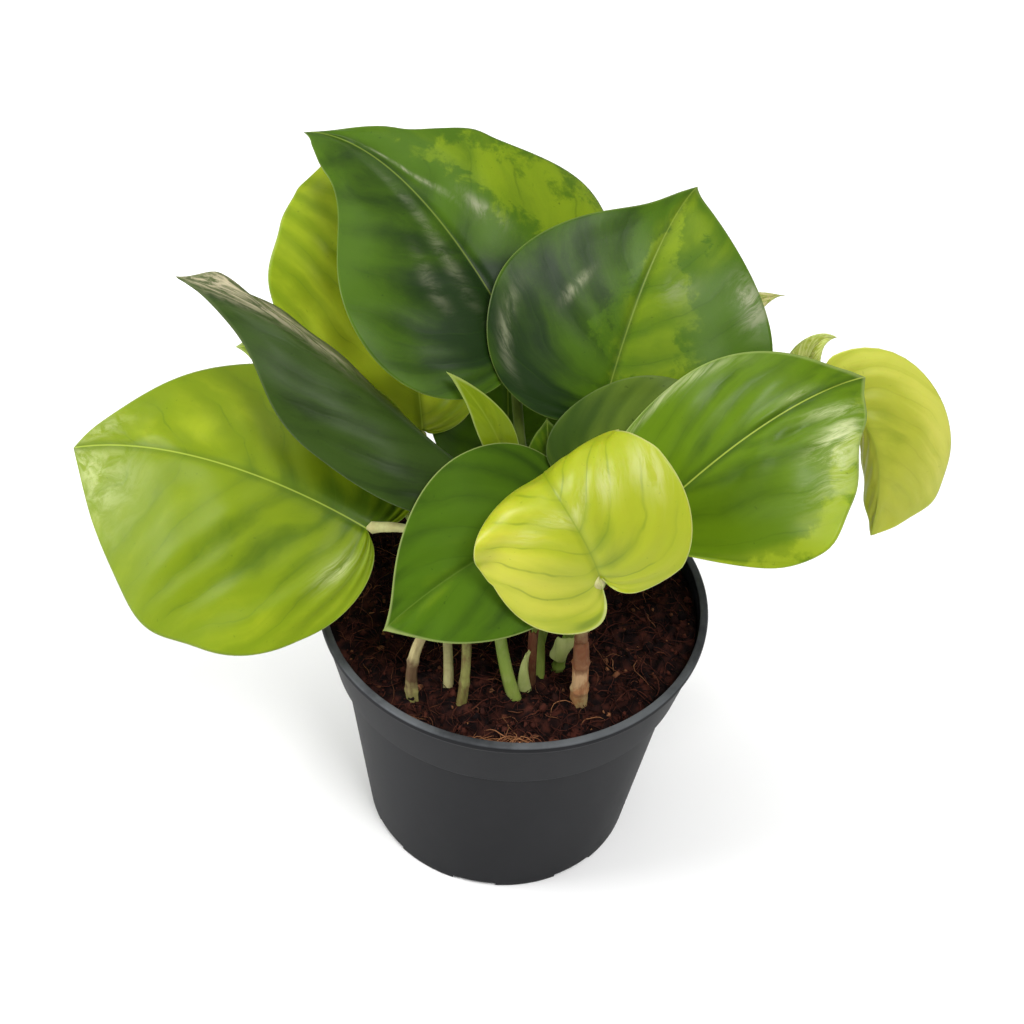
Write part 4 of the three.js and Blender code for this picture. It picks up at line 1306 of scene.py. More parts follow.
    def crumbs(self, seed: int) -> tuple[np.ndarray, list[list[int]], np.ndarray]:
        """Angular crumbs: pushed-about eight-sided dice strewn on the top."""
        rng = np.random.default_rng(seed)
        die = np.array([(1, 0, 0), (-1, 0, 0), (0, 1, 0), (0, -1, 0), (0, 0, 1), (0, 0, -1)], float)
        triangles = np.array(
            [(0, 2, 4), (2, 1, 4), (1, 3, 4), (3, 0, 4), (2, 0, 5), (1, 2, 5), (3, 1, 5), (0, 3, 5)]
        )
        count = self.CRUMBS
        far = 55.0 * np.sqrt(rng.uniform(0, 1, count))
        turn = rng.uniform(0, math.tau, count)
        x, y = far * np.cos(turn), far * np.sin(turn)
        size = rng.lognormal(-0.5, 0.5, count).clip(0.25, 2.2)
        shape = die[None] * rng.uniform(0.55, 1.25, (count, 6, 1)) * size[:, None, None]
        shape += rng.normal(0.0, 0.18, (count, 6, 3)) * size[:, None, None]
        spin = rng.uniform(0, math.tau, count)
        cos, sin = np.cos(spin)[:, None], np.sin(spin)[:, None]
        shape[:, :, 0], shape[:, :, 1] = (
            shape[:, :, 0] * cos - shape[:, :, 1] * sin,
            shape[:, :, 0] * sin + shape[:, :, 1] * cos,
        )
        middle = np.stack([x, y, self.rough_height(x, y) + 0.25 * size], axis=-1)
        points = (shape + middle[:, None, :]).reshape(-1, 3)
        faces = (triangles[None] + (np.arange(count) * 6)[:, None, None]).reshape(-1, 3).tolist()
        tone = np.repeat(rng.beta(1.5, 4.0, count), 6)
        return points, faces, tone

    def build(self) -> None:
        """Makes body, fibres and crumbs as one piece."""
        rng = np.random.default_rng(7)
        count = self.FIBRES
        far = 55.5 * np.sqrt(rng.uniform(0, 1, count))
        turn = rng.uniform(0, math.tau, count)
        strewn = self.fibres(
            np.stack([far * np.cos(turn), far * np.sin(turn)], axis=-1),
            rng.lognormal(2.0, 0.5, count).clip(3.0, 22.0),
            rng.uniform(0, math.pi, count),
            rng.uniform(0.07, 0.2, count),
            rng.uniform(0.2, 1.6, count),
            8,
        )
        tuft_count = self.TUFT
        tuft = self.fibres(
            np.stack([rng.normal(at, reach, tuft_count) for at, reach in self.TUFT_PLACE], axis=-1),
            rng.uniform(4.0, 12.0, tuft_count),
            rng.normal(0.1, 0.5, tuft_count),
            rng.uniform(0.09, 0.18, tuft_count),
            rng.uniform(1.0, 3.0, tuft_count),
            9,
        )
        body = self.body()
        crumbs = self.crumbs(10)
        parts = [
            (body[0], body[1], body[2]),
            (strewn[0], strewn[1], np.repeat(rng.beta(1.3, 2.9, count), strewn[2])),
            (tuft[0], tuft[1], np.repeat(rng.uniform(0.5, 1.0, tuft_count), tuft[2])),
            crumbs,
        ]
        points, faces, tones, start = [], [], [], 0
        for spots, shapes, tone in parts:
            points.append(spots)
            faces += [[start + i for i in face] for face in shapes]
            tones.append(tone)
            start += len(spots)
        piece = MeshPiece("coir_soil", np.vstack(points), faces)
        piece.carry(Layer.TONE, np.concatenate(tones))
        piece.dress([Finishes.of(CoirFinish(), "material")])
        piece.seat(Slot.SOIL, "soil")


@dataclass
class Stem:
    """A stem that stands in the soil.

    Attributes:
        name: Name of the CAD node.
        path: Bezier points of its centre line.
        radius: Its radius.
        finish: Its finish.
        slot: Material slot of the record.
        rough: How uneven its bark is, as a share of the radius.
        knots: Where along it a ring swells, as shares.
        taper: How much thinner it is at the top.
        ragged: How far torn fibres stand up round the top, in millimetres.
    """

    name: str
    path: tuple[Point, Point, Point, Point]
    radius: float
    finish: StalkFinish
    slot: Slot
    rough: float = 0.06
    knots: tuple[float, ...] = ()
    taper: float = 0.15
    ragged: float = 0.0

    RINGS = 90
    SIDES = 24
    KNOT_SWELL = 0.16
    KNOT_REACH = 0.03

    def build(self) -> None:
        """Makes the stem as a knotted, furrowed tube."""
        rings, sides = self.RINGS, self.SIDES
        share = np.linspace(0.0, 1.0, rings)[:, None]
        angle = (np.arange(sides) * math.tau / sides)[None, :]
        girth = 1.0 - self.taper * share + 0.12 * (1.0 - share) ** 3
        bells = (np.exp(-(((share - knot) / self.KNOT_REACH) ** 2)) for knot in self.knots)
        girth = girth + sum(self.KNOT_SWELL * bell for bell in bells)
        furrow = self.rough * (
            np.sin(5 * angle + 3.0 * share + self.radius) * 0.6 + np.sin(9 * angle - 11.0 * share) * 0.4
        )
        path = cubic(np.array(self.path), share.ravel())
        end = 1.0 - 0.55 * smoothstep(0.95, 1.0, share)
        points = sweep(path, self.radius * girth * (1.0 + furrow) * end)
        torn = 0.5 + 0.5 * np.sin(4 * angle + 1.0) * np.sin(7 * angle + 2.0)
        points[: rings * sides, 2] += (self.ragged * torn * smoothstep(0.93, 0.99, share)).ravel()
        piece = MeshPiece(self.name.replace("stem", "stalk"), points, tube_faces(rings, sides))
        piece.carry(Layer.HEIGHT, np.concatenate([np.repeat(share.ravel(), sides), [0.0, 1.0]]))
        piece.dress([Finishes.of(self.finish, "material")])
        piece.seat(self.slot, self.name)


@dataclass
class Sheath:
    """Dry or green husk that wraps part of a stem, open at one side and torn at the top.

    Attributes:
        name: Name of the piece.
        node: CAD node that it stands for together with the stem.
        path: Bezier points of its middle line.
        radius: Radius at foot and top.
        facing: Direction of its middle, in degrees from +X towards +Y.
        wrap: Angle that it covers at foot and top, in degrees.
        finish: Its finish.
        slot: Material slot of the record.
        torn: Depth of the tears at the top, in millimetres.
        seed: Seed of the tears.
    """

    name: str
    node: str
    path: tuple[Point, Point, Point, Point]
    radius: Pair
    facing: float
    wrap: Pair
    finish: StalkFinish
    slot: Slot
    torn: float = 1.5
    seed: int = 1

    THICKNESS = 0.3
    RINGS = 36
    COLUMNS = 20

    def skin(self, offset: float, rings: int, columns: int) -> np.ndarray:
        """Points of one face: arcs round the middle line at the radius plus an offset."""
        share = np.linspace(0.0, 1.0, rings)[:, None]
        side = np.linspace(-1.0, 1.0, columns)[None, :]
        path = cubic(np.array(self.path), share.ravel())
        wrap = np.radians(self.wrap[0] + (self.wrap[1] - self.wrap[0]) * share) / 2
        angle = math.radians(self.facing) + wrap * side
        radius = self.radius[0] + (self.radius[1] - self.radius[0]) * share + offset
        uneven = 1.0 + 0.10 * np.sin(3.0 * angle + 4.0 * share + self.seed)
        radius = radius * uneven + 0.5 * side**2 * share
        tears = 0.5 + 0.5 * ripples(side * 9.0 + 0 * share, share * 2.0, 5.0, self.seed)
        height = -self.torn * share**6 * tears
        parts = [np.cos(angle) * radius, np.sin(angle) * radius, height * np.ones_like(angle)]
        return (path[:, None, :] + np.stack(parts, axis=-1)).reshape(-1, 3)

    def build(self) -> None:
        """Joins an outer and an inner skin round the rim."""
        rings, columns = self.RINGS, self.COLUMNS
        count = rings * columns
        points = np.vstack([self.skin(self.THICKNESS, rings, columns), self.skin(0.0, rings, columns)])
        row, column = np.meshgrid(np.arange(rings - 1), np.arange(columns - 1), indexing="ij")
        near = (row * columns + column).ravel()
        outer = np.stack([near, near + 1, near + columns + 1, near + columns], axis=-1)
        inner = outer[:, ::-1] + count
        low = np.arange(columns)
        high = (rings - 1) * columns + low
        left = np.arange(rings) * columns
        right = left + columns - 1
        rim = np.concatenate([low, right[1:], high[::-1][1:], left[::-1][1:]])
        edge = np.stack([rim[1:], rim[:-1], rim[:-1] + count, rim[1:] + count], axis=-1)
        faces = outer.tolist() + inner.tolist() + edge.tolist()
        piece = MeshPiece(self.name, points, faces)
        piece.carry(Layer.HEIGHT, np.tile(np.repeat(np.linspace(0.0, 1.0, rings), columns), 2))
        piece.dress([Finishes.of(self.finish, "material")])
        piece.seat(self.slot, self.node)


class Studio:
    """Pale floor, soft lights and the camera."""

    TARGET = (-2.7, 0.0, 127.6)
    ELEVATION = 44.4
    ROLL = 4.7
    DISTANCE = 587.0
    LENS = 70.0
    SENSOR = 36.0
    FLOOR_HALF = 3.0
    ROOM_LIGHT = 0.62

    def build_floor(self) -> None:
        """Makes the plain pale floor."""
        half = self.FLOOR_HALF
        mesh = bpy.data.meshes.new("floor")
        corners = [(-half, -half, 0), (half, -half, 0), (half, half, 0), (-half, half, 0)]
        mesh.from_pydata(corners, [], [[0, 1, 2, 3]])
        floor = bpy.data.objects.new("floor", mesh)
        bpy.context.scene.collection.objects.link(floor)
        pen = Pen("pale_floor")
        pale = pen.finish(Base_Color=(0.93, 0.93, 0.93), Roughness=0.9, Specular_IOR_Level=0.1)
        mesh.materials.append(pale)

    def build_light(self, name: str, place: Point, aim: Point, size: float, power: float) -> None:
        """Makes one round soft light, all lengths in metres."""
        light = bpy.data.lights.new(name, "AREA")
        light.shape = "DISK"
        light.size = size
        light.energy = power
        thing = bpy.data.objects.new(name, light)
        bpy.context.scene.collection.objects.link(thing)
        thing.location = place
        thing.rotation_euler = (Vector(aim) - Vector(place)).to_track_quat("-Z", "Y").to_euler()

    def build_camera(self) -> None:
        """Sets the camera at the photo's angle."""
        up = math.radians(self.ELEVATION)
        roll = math.radians(self.ROLL)
        ahead = Vector((0.0, math.cos(up), -math.sin(up)))
        right = Vector((1.0, 0.0, 0.0))
        above = right.cross(ahead)
        x_axis = right * math.cos(roll) + above * math.sin(roll)
        y_axis = above * math.cos(roll) - right * math.sin(roll)
        camera = bpy.data.cameras.new("camera")
        camera.lens = self.LENS
        camera.sensor_width = self.SENSOR
        camera.clip_start = 0.05
        camera.clip_end = 20.0
        thing = bpy.data.objects.new("camera", camera)
        bpy.context.scene.collection.objects.link(thing)
        place = (Vector(self.TARGET) - ahead * self.DISTANCE) * METRE
        turn = Matrix((x_axis, y_axis, -ahead)).transposed().to_4x4()
        thing.matrix_world = Matrix.Translation(place) @ turn
        bpy.context.scene.camera = thing

    def build(self) -> None:
        """Makes floor, lights and camera, and sets the plain colour view."""
        self.build_floor()
        self.build_light("front_softbox", (0.36, -0.76, 1.5), (0.0, 0.0, 0.12), 0.55, 16.5)
        self.build_light("top_softbox", (-0.25, 0.25, 1.7), (0.0, 0.0, 0.12), 1.2, 10.0)
        self.build_light("left_softbox", (-1.5, -0.25, 0.75), (0.0, 0.0, 0.12), 0.9, 21.0)
        self.build_camera()
        world = bpy.data.worlds.new("white_room")
        bpy.context.scene.world = world
        world.use_nodes = True
        background = next(node for node in world.node_tree.nodes if node.type == "BACKGROUND")
        background.inputs["Color"].default_value = (1.0, 1.0, 1.0, 1.0)
        background.inputs["Strength"].default_value = self.ROOM_LIGHT
        bpy.context.scene.view_settings.view_transform = "Standard"


STEMS = (
    Stem(
        "stem_left_brown", ((-25.7, -42, 79.3), (-29, -41, 95), (-28.5, -40, 105), (-25, -37.6, 113)),
        1.7, BROWN_STALK, Slot.STEM_BROWN, rough=0.14, knots=(0.3, 0.62), ragged=0.5,
    ),
    Stem(
        "stem_left_olive", ((-14, -42.5, 79.3), (-12, -42, 92), (-12, -38, 104), (-13, -34, 112)), 1.5,
        OLIVE_STALK, Slot.STEM_GREEN, rough=0.1, knots=(0.45,),
    ),
    Stem(
        "stem_middle_sheath", ((14.3, -24.5, 79.3), (14.5, -25, 90), (16, -25, 98), (17.5, -25, 106)),
        1.8, GREEN_STALK, Slot.STEM_GREEN, knots=(0.35,),
    ),
    Stem(
        "stem_stub_right", ((21.8, -37, 79.3), (21.6, -37, 92), (21, -37, 104), (20, -37, 115)), 2.5,
        TAN_STALK, Slot.STEM_BROWN, rough=0.12, knots=(0.4, 0.7), ragged=0.2,
    ),
)


SHEATHS = (
    Sheath(
        "husk_top_leaf", "leaf_top_large",
        ((7.2, -31.5, 84), (6.6, -32, 94), (6.4, -31.6, 104), (6.6, -31, 112)), (1.1, 0.9), -90.0,
        (300.0, 260.0), HUSK_STALK, Slot.STEM_GREEN, torn=2.0, seed=7,
    ),
    Sheath(
        "sheath_top_leaf", "leaf_top_large",
        ((5.6, -33, 85), (4.2, -33.6, 93), (3.2, -33.4, 99), (4.4, -33, 106)), (1.8, 1.2), -50.0,
        (210.0, 60.0), SHEATH_STALK, Slot.STEM_GREEN, torn=3.0, seed=8,
    ),
    Sheath(
        "sheath_middle", "stem_middle_sheath",
        ((14.6, -26, 95), (15.0, -26.5, 99), (15.8, -27, 103), (16.8, -27, 108)), (2.2, 3.2), -80.0,
        (210.0, 120.0), SHEATH_STALK, Slot.STEM_GREEN, torn=0.8, seed=5,
    ),
)


LEAVES = (
    Leaf(
        "left_large",
        Blade(
            mid=((-44, -16, 132), (-70, -8, 142), (-106, 8, 140), (-138, 22, 118)),
            face=(0, -0.45, 0.9), half=(53, 44), widest=(0.33, 0.28), lobe=(11, 11), full=(0.5, 0.35),
            tip_width=(0.95, 0.35), taper=(0.4, 0.2), fold=((-5, -5), (0, 0)), curl=(-30, -25),
            swell=((0, 0.56, 0.12, 2.0),),
        ),
        Stalk(foot=(-24.9, -37.5, 113.4), rise=14, lean=(4, 3), arrive=(30, 2, 6), radius=1.4),
        BRIGHT_LEAF, Slot.LEAF_BRIGHT, tone=0.57,
        patches=(
            Patch(0.05, 0.3, 0.28, 0.4, -0.6), Patch(0.35, 0.05, 0.3, 0.12, -0.35),
            Patch(0.4, -0.35, 0.14, 0.4, -0.15), Patch(0.77, 0.34, 0.14, 0.3, 0.14),
            Patch(0.37, -0.8, 0.14, 0.2, 0.18), Patch(0.54, -0.45, 0.12, 0.25, -0.12),
        ),
        # Painted highlights: sheen at the tip and glare on the lower lobe.
        highlights_and_pale_streaks=(
            Patch(0.95, -0.55, 0.1, 0.45, 0.75), Patch(0.93, 0.75, 0.07, 0.3, 0.5),
            Patch(0.23, -0.45, 0.05, 0.12, 0.8),
        ),
        relief=Relief(groove=0.6, quilt=0.55, bumps=0.7, spacing=30.0), seed=11,
        stalk_finish=PALE_STALK, knuckle=0.7,
    ),
    Leaf(
        "left_folded",
        Blade(
            mid=((-15, -8, 150), (-37, -5, 164), (-62, 6, 187), (-101, 15.5, 192.5)),
            face=(0.1, -0.15, 0.95), half=(25, 17), widest=(0.42, 0.4), lobe=(10, 6), full=(0.4, 0.5),
            tip_width=(0.15, 0.3), fold=((5, 0), (-50, -10)), curl=(-65, -30),
            swell=((0, 0.7, 0.16, -4.5), (1, 0.2, 0.09, 5)),
        ),
        Stalk(foot=(5.7, -38), rise=34, lean=(-14, 0), arrive=(10, 0, -14), radius=1.7), DARK_LEAF,
        Slot.LEAF_DARK, tone=0.5,
        # Painted shade: the second patch darkens the lower part near the base, where the overlapping leaves
        # shade it.
        patches=(Patch(0.75, 0.5, 0.25, 0.4, 0.15), Patch(0.35, -0.6, 0.3, 0.3, -0.2)),
        # Painted sheen along the ridge of the fold and at the tip.
        highlights_and_pale_streaks=(
            Patch(0.84, 0.6, 0.16, 0.45, 1.5), Patch(0.96, 0.3, 0.08, 0.9, 1.4),
            Patch(0.66, 0.3, 0.1, 0.1, 0.3),
        ),
        relief=Relief(
            groove=0.3, quilt=0.2, bumps=0.5, spacing=34.0,
            lifts=(Patch(0.86, 1.0, 0.06, 0.5, 3.0), Patch(0.88, 0.2, 0.1, 1.2, 1.5)),
        ),
        seed=12,
    ),
    Leaf(
        "back_left",
        Blade(
            mid=((-32, 30, 130), (-37, 47, 161), (-50, 64, 197), (-63, 84, 194)),
            face=(-0.3, -0.5, 0.8), half=(36, 24), widest=(0.45, 0.3), lobe=(5, 2), full=(0.8, 0.6),
            tip_width=(0.7, 0.3), fold=((24, 10), (12, 8)),
            swell=((0, 0.48, 0.1, 2.6), (0, 0.9, 0.07, 4.5), (0, 0.62, 0.08, -1.6)),
        ),
        Stalk(foot=(-17.4, -38.5), rise=30, lean=(2, 6), arrive=(2, -8, -20), radius=1.3), BRIGHT_LEAF,
        Slot.LEAF_BRIGHT, tone=0.72,
        # Painted light: both patches lighten the lower part, which lies in the shade of the leaves above.
        patches=(Patch(0.12, 0.0, 0.15, 0.6, 0.25), Patch(0.36, -0.24, 0.18, 0.4, 0.6)),
        relief=Relief(quilt=0.4, bumps=0.6), seed=13, grid=(84, 32), stalk_finish=PALE_STALK,
    ),
    Leaf(
        "top_large",
        Blade(
            mid=((-6, 20, 178), (-24, 36, 200), (-48, 60, 216), (-73, 74, 204)), face=(0, -0.35, 0.93),
            half=(41, 41), widest=(0.22, 0.14), lobe=(12, 10), full=(0.4, 0.6), tip_width=(0.3, 0.05),
            taper=(0.5, 0.4), curl=(-10, -36),
            swell=(
                (1, 0.47, 0.08, 8.3), (1, 0.67, 0.04, 2.5), (1, 0.77, 0.04, -1.5), (0, 0.88, 0.1, 2.5),
                (0, 0.92, 0.06, 2.0),
            ),
        ),
        Stalk(foot=(8.9, -30), rise=40, lean=(1, 6), arrive=(2, -6, -38), radius=1.7), GREEN_LEAF,
        Slot.LEAF_GREEN, tone=0.5,
        patches=(
            Patch(0.4, -0.5, 0.5, 0.5, -0.34), Patch(0.55, -0.75, 0.16, 0.3, 0.14),
            # Painted shade: the first patch on the next line darkens the base, which lies in deep shade under
            # the leaves around it.
            Patch(0.15, 0.0, 0.3, 0.4, -0.8), Patch(0.7, 0.7, 0.14, 0.3, -0.12),
            Patch(0.36, -0.05, 0.14, 0.2, -0.5), Patch(0.5, 0.75, 0.4, 0.4, 0.22),
            Patch(0.95, 0.0, 0.2, 0.5, -0.15),
        ),
        highlights_and_pale_streaks=(
            Patch(0.62, -0.16, 0.2, 0.05, 0.34), Patch(0.5, -0.36, 0.08, 0.05, 0.35),
            Patch(0.59, 0.34, 0.05, 0.05, 0.8), Patch(0.79, 0.24, 0.12, 0.03, 0.8),
        ),
        marks=(Patch(0.55, 0.66, 0.3, 0.46, 0.7),),
        relief=Relief(groove=0.9, quilt=0.32, bumps=0.8, spacing=34.0), seed=14, stalk_finish=PAINTED_SHADE_TOP_STALK,
    ),
    Leaf(
        "right_large",
        Blade(
            mid=((21, 8, 165), (26, 24, 188), (34, 44, 207), (43, 60, 206)), face=(0.1, -0.5, 0.85),
            half=(40, 42), widest=(0.3, 0.32), lobe=(9, 8), full=(0.4, 0.45), tip_width=(0.15, 0.05),
            taper=(0.35, 0.1), swell=((1, 0.72, 0.14, 2.4), (0, 0.8, 0.1, -2.8)),
        ),
        Stalk(foot=(10, -6), rise=40, lean=(2, 6), arrive=(0, 2, -40), radius=1.7), GREEN_LEAF,
        Slot.LEAF_GREEN, tone=0.46,
        patches=(
            # Painted shade: the second patch on the next line darkens the lower left, which lies in the shade
            # of the leaves in front.
            Patch(0.4, -0.7, 0.6, 0.4, -0.3), Patch(0.2, -0.8, 0.2, 0.4, -0.2),
            Patch(0.9, 0.6, 0.16, 0.4, 0.25), Patch(0.35, 0.5, 0.3, 0.4, 0.1),
            Patch(0.8, 0.78, 0.12, 0.25, 0.08), Patch(0.88, -0.35, 0.1, 0.5, 0.3),
        ),
        # Painted highlights: a glint and streaks on the left half and a band along the right margin.
        highlights_and_pale_streaks=(
            Patch(0.57, -0.53, 0.05, 0.035, 1.0), Patch(0.38, -0.86, 0.07, 0.05, 0.5),
            Patch(0.61, 0.9, 0.06, 0.12, 1.1), Patch(0.68, 0.35, 0.04, 0.14, 0.35),
        ),
        marks=(Patch(0.62, 0.15, 0.45, 0.5, 0.8), Patch(0.77, 0.66, 0.09, 0.2, -0.7)),
        relief=Relief(quilt=0.2, bumps=0.5, spacing=36.0), seed=15, stalk_finish=PAINTED_SHADE_STALK,
    ),
    Leaf(
        "right_front",
        Blade(
            mid=((27, -26, 140), (48, -16, 168), (72, -2, 184), (93, 12, 180)), face=(0, -0.5, 0.85),
            half=(24, 34), widest=(0.5, 0.5), lobe=(3, 3), shoulder=(0.1, 0.35), full=(0.6, 0.9),
            tip_width=(0.2, 0.3), taper=(0.2, 0.15),
            swell=(
                (1, 0.65, 0.11, -7), (1, 0.44, 0.06, 5), (1, 0.23, 0.09, -11), (1, 0.82, 0.1, -3.5),
                (0, 0.72, 0.15, -2.2), (1, 0.37, 0.04, 1.6), (1, 0.56, 0.06, 2.0),
            ),
        ),
        Stalk(foot=(22, -8), rise=24, lean=(0, 0), arrive=(-1, 8, -20), radius=1.6), FRESH_LEAF,
        Slot.LEAF_GREEN, tone=0.41,
        patches=(
            Patch(0.35, 0.9, 0.4, 0.2, 0.35), Patch(0.45, 0.3, 0.3, 0.35, -0.12),
            Patch(0.35, 0.5, 0.2, 0.4, 0.2),
        ),
        # Painted highlights near the tip and along both margins.
        highlights_and_pale_streaks=(
            Patch(0.82, -0.39, 0.03, 0.12, 0.6), Patch(0.8, 0.62, 0.03, 0.2, 0.7),
            Patch(0.42, -0.95, 0.12, 0.05, 0.6), Patch(0.66, 0.84, 0.1, 0.13, 1.3),
        ),
        marks=(Patch(0.5, 0.95, 0.5, 0.22, 0.6), Patch(0.3, -0.55, 0.14, 0.25, -0.9)),
        relief=Relief(
            quilt=0.2, bumps=0.8, spacing=30.0,
            lifts=(Patch(0.6, 0.36, 0.07, 0.12, 1.6), Patch(0.7, 0.48, 0.05, 0.12, -1.4)),
        ),
        seed=16,
    ),
    Leaf(
        "front_low",
        Blade(
            mid=((14, -14, 141), (-3, -30, 148), (-22, -42, 140), (-36, -46, 122)), face=(0, -0.6, 0.8),
            half=(25, 28), widest=(0.36, 0.33), lobe=(6, 4), full=(0.65, 0.45), tip_width=(0.1, 0.12),
            taper=(0.1, 0.25),
        ),
        Stalk(foot=(7.6, -23), rise=20, lean=(0, 0), arrive=(2, 4, -24), radius=1.3), SHADE_LEAF,
        Slot.LEAF_GREEN, tone=0.36,
        patches=(
            Patch(0.75, 0.3, 0.3, 0.5, 0.2), Patch(0.9, -0.4, 0.2, 0.5, 0.3),
            Patch(0.3, 0.3, 0.2, 0.6, -0.1),
        ),
        relief=Relief(quilt=0.25, bumps=0.4, spacing=36.0), seed=17, grid=(84, 32),
    ),
    Leaf(
        "middle_dark",
        Blade(
            mid=((16, -8, 154), (30, -4, 167), (45, 0, 174), (55, 5, 172)), face=(0, -0.6, 0.8),
            half=(17, 12), lobe=(8, 6),
        ),
        Stalk(foot=(18, -3), rise=36, lean=(0, 0), arrive=(0, 6, -24), radius=1.4), PLAIN_DARK_LEAF,
        Slot.LEAF_DARK, tone=0.92, patches=(Patch(0.3, -0.7, 0.2, 0.4, -0.4),),
        relief=Relief(quilt=0.12, bumps=0.5, spacing=34.0), seed=18, grid=(64, 24),
    ),
    Leaf(
        "front_lime",
        Blade(
            mid=((22, -50, 155), (16.5, -47.3, 171.5), (-2, -37.5, 186), (6, -19, 163)),
            face=(-0.22, -0.84, 0.5), face_tip=(-0.54, 0.76, 0.36), half=(32, 32), widest=(0.34, 0.42),
            lobe=(20, 8), sinus=(-0.2, 0.1), full=(0.5, 0.6), fold=((6, 0), (6, 0)), curl=(-20, -20),
            swell=(
                (0, 0.26, 0.1, 3), (1, 0.2, 0.08, -2.5), (1, 0.54, 0.07, -6), (1, 0.455, 0.055, -2.8),
            ),
        ),
        Stalk(foot=(20, -37, 115.3), rise=10, lean=(-0.9, 0), arrive=(1, 5, -18), radius=1.5),
        LIME_LEAF, Slot.LEAF_LIME, tone=0.62,
        patches=(
            Patch(0.35, 0.15, 0.3, 0.25, -0.35), Patch(0.14, -0.85, 0.08, 0.12, -0.7),
            Patch(0.42, -0.75, 0.3, 0.4, 0.35),
        ),
        # Painted highlight: a streaked band across the blade below the fold.
        highlights_and_pale_streaks=(
            Patch(0.55, -0.46, 0.035, 0.14, 0.35), Patch(0.62, -0.1, 0.035, 0.2, 0.5),
            Patch(0.6, 0.22, 0.035, 0.16, 0.5), Patch(0.51, 0.55, 0.04, 0.14, 0.5),
            Patch(0.43, 0.85, 0.04, 0.14, 0.5),
        ),
        relief=Relief(
            bumps=0.6, ripple=0.4, quilt=0.3,
            lifts=(Patch(0.62, 0.92, 0.07, 0.3, -2.0), Patch(0.85, -0.2, 0.12, 0.9, -2.3)),
        ),
        seed=19, grid=(110, 40), stalk_finish=BROWN_FOOT_STALK, knuckle=-0.45,
    ),
    Leaf(
        "far_right",
        Blade(
            mid=((88, 14, 165), (98, 8, 170), (104, 2, 154), (103, 0, 130)), face=(0.3, -0.9, 0.3),
            half=(27, 12), widest=(0.42, 0.4), lobe=(5, 4), full=(0.9, 0.5), tip_width=(0.6, 0.3),
            fold=((0, 0), (-70, -70)), curl=(-30, -40), swell=((0, 0.3, 0.1, -1.4),),
        ),
        Stalk(foot=(20, 3), rise=40, lean=(8, 2), arrive=(-16, 0, -14), radius=1.4), OLIVE_LEAF,
        Slot.LEAF_OLIVE, tone=0.5,
        patches=(Patch(0.35, -0.85, 0.3, 0.3, 0.4), Patch(0.5, -0.2, 0.25, 0.3, -0.2)),
        relief=Relief(bumps=0.4, ripple=0.35, waves=4.0), seed=20, grid=(84, 32),
    ),
    Leaf(
        "far_right_young",
        Blade(
            mid=((81, 22, 158), (77, 23, 170), (77, 24, 185), (85, 23, 184.5)), face=(-0.5, -0.8, 0.2),
            half=(7, 6), lobe=(1, 1), fold=((30, 30), (30, 30)),
        ),
        Stalk(foot=(24, 10), rise=36, lean=(6, 4), arrive=(-8, 4, -16), radius=1.1), YOUNG_LEAF,
        Slot.LEAF_BRIGHT, tone=1.0, highlights_and_pale_streaks=(Patch(0.6, 0.0, 0.7, 1.6, 2.2),),
        relief=Relief(groove=0.2, quilt=0.05, bumps=0.2, ripple=0.1), seed=21, grid=(50, 12),
    ),
    Leaf(
        "centre_young",
        Blade(
            mid=((-5, -2, 148), (-8.5, -3, 162), (-16, -3, 176), (-24, -1, 180.5)),
            face=(0.35, -0.8, 0.5), half=(5, 5.5), widest=(0.32, 0.32), lobe=(2, 2), full=(0.3, 0.3),
            tip_width=(0.25, 0.25),
        ),
        Stalk(foot=(-4, -12), rise=30, lean=(0, 0), arrive=(2, 0, -20), radius=1.2), YOUNG_LEAF,
        Slot.LEAF_BRIGHT, tone=0.56, relief=Relief(groove=0.3, quilt=0.05, bumps=0.2, ripple=0.2),
        seed=22, grid=(50, 14),
    ),
    Leaf(
        "back_right",
        Blade(
            mid=((30, 20, 153), (42, 26, 172), (58, 34, 189), (71, 41, 184)), face=(0.2, -0.5, 0.8),
            half=(16, 16), lobe=(6, 6), full=(0.3, 0.3), tip_width=(0.05, 0.05), taper=(0.5, 0.5),
            swell=((0, 0.9, 0.06, 1.2), (1, 0.9, 0.06, 1.2)),
        ),
        Stalk(foot=(18, 12), rise=30, lean=(0, 0), arrive=(-2, 0, -20), radius=1.3), CREAM_TIP_LEAF,
        Slot.LEAF_BRIGHT, tone=0.6, highlights_and_pale_streaks=(Patch(1.0, 0.0, 0.2, 1.4, 3.0),), seed=23, grid=(60, 20),
    ),
    Leaf(
        "centre_shade",
        Blade(
            mid=((7, 0, 140), (7, 1, 148), (6, 2, 155), (5, 4, 162)), face=(0, -0.8, 0.6), half=(7, 7),
            lobe=(3, 3),
        ),
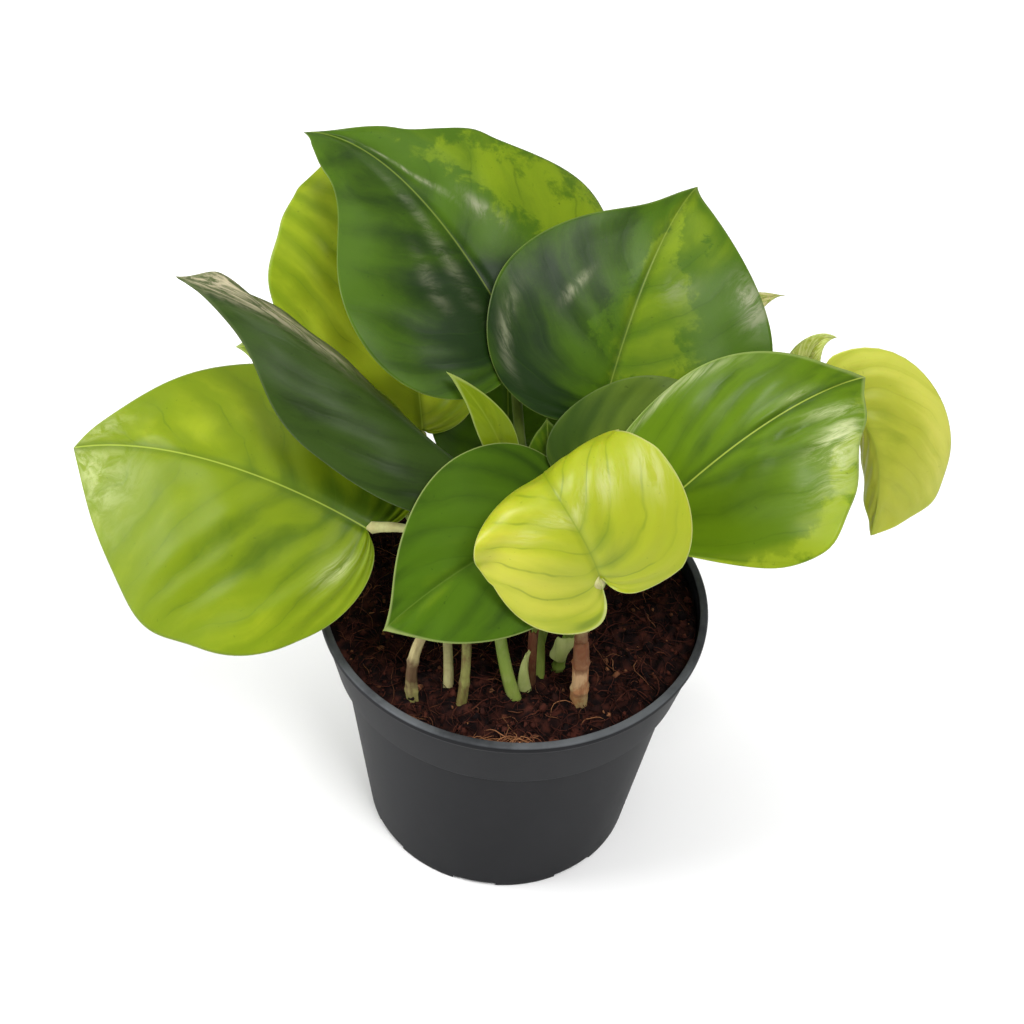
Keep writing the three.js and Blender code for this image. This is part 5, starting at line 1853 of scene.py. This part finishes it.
        Stalk(foot=(2, -4), rise=30, lean=(0, 0), arrive=(0, 0, -20), radius=1.2), GREEN_LEAF,
        Slot.LEAF_OLIVE, tone=0.62, relief=Relief(groove=0.3, quilt=0.05, bumps=0.2, ripple=0.2),
        seed=24, grid=(50, 14),
    ),
    Leaf(
        "low_back_left",
        Blade(
            mid=((-50, 32, 120), (-62, 39, 134), (-78, 47, 146), (-92, 51, 139)),
            face=(-0.2, -0.5, 0.85), half=(12, 12), lobe=(5, 5),
        ),
        Stalk(foot=(-22, 2), rise=28, lean=(-1, 1), arrive=(8, -6, -12), radius=1.3), BRIGHT_LEAF,
        Slot.LEAF_BRIGHT, tone=0.5, seed=25, grid=(60, 20),
    ),
    Leaf(
        "rear_left",
        Blade(
            mid=((-6, 38, 126), (-8, 56, 146), (-12, 82, 144), (-14, 102, 120)), face=(0, 0.3, 0.95),
            half=(30, 25), lobe=(22, 10), swell=((0, 0.31, 0.1, -3.0),),
        ),
        Stalk(foot=(-8, 12), rise=20, lean=(0, 0), arrive=(0, -6, -16), radius=1.5), GREEN_LEAF,
        # Painted shade: the patch darkens the lobe that fills the gap between the front leaves, where the
        # plant is in deep shade.
        Slot.LEAF_GREEN, tone=0.5, patches=(Patch(0.1, -0.6, 0.2, 0.6, -0.4),), seed=26, grid=(84, 32),
    ),
    Leaf(
        "rear_right",
        Blade(
            mid=((32, 32, 132), (42, 48, 148), (54, 68, 146), (66, 84, 124)), face=(0.2, 0.3, 0.95),
            half=(23, 23), lobe=(9, 9),
        ),
        Stalk(foot=(10, 14), rise=20, lean=(0, 0), arrive=(-6, -6, -16), radius=1.4), GREEN_LEAF,
        Slot.LEAF_GREEN, tone=0.55, seed=27, grid=(84, 32),
    ),
)


def main() -> None:
    """Builds the studio, the pot, the soil, the stems and the leaves in order."""
    logging.basicConfig(level=logging.INFO, format="%(message)s")
    Studio().build()
    NurseryPot().build()
    CoirSoil().build()
    for stem in STEMS + SHEATHS:
        stem.build()
    for leaf in LEAVES:
        leaf.build()


if __name__ == "__main__":
    main()
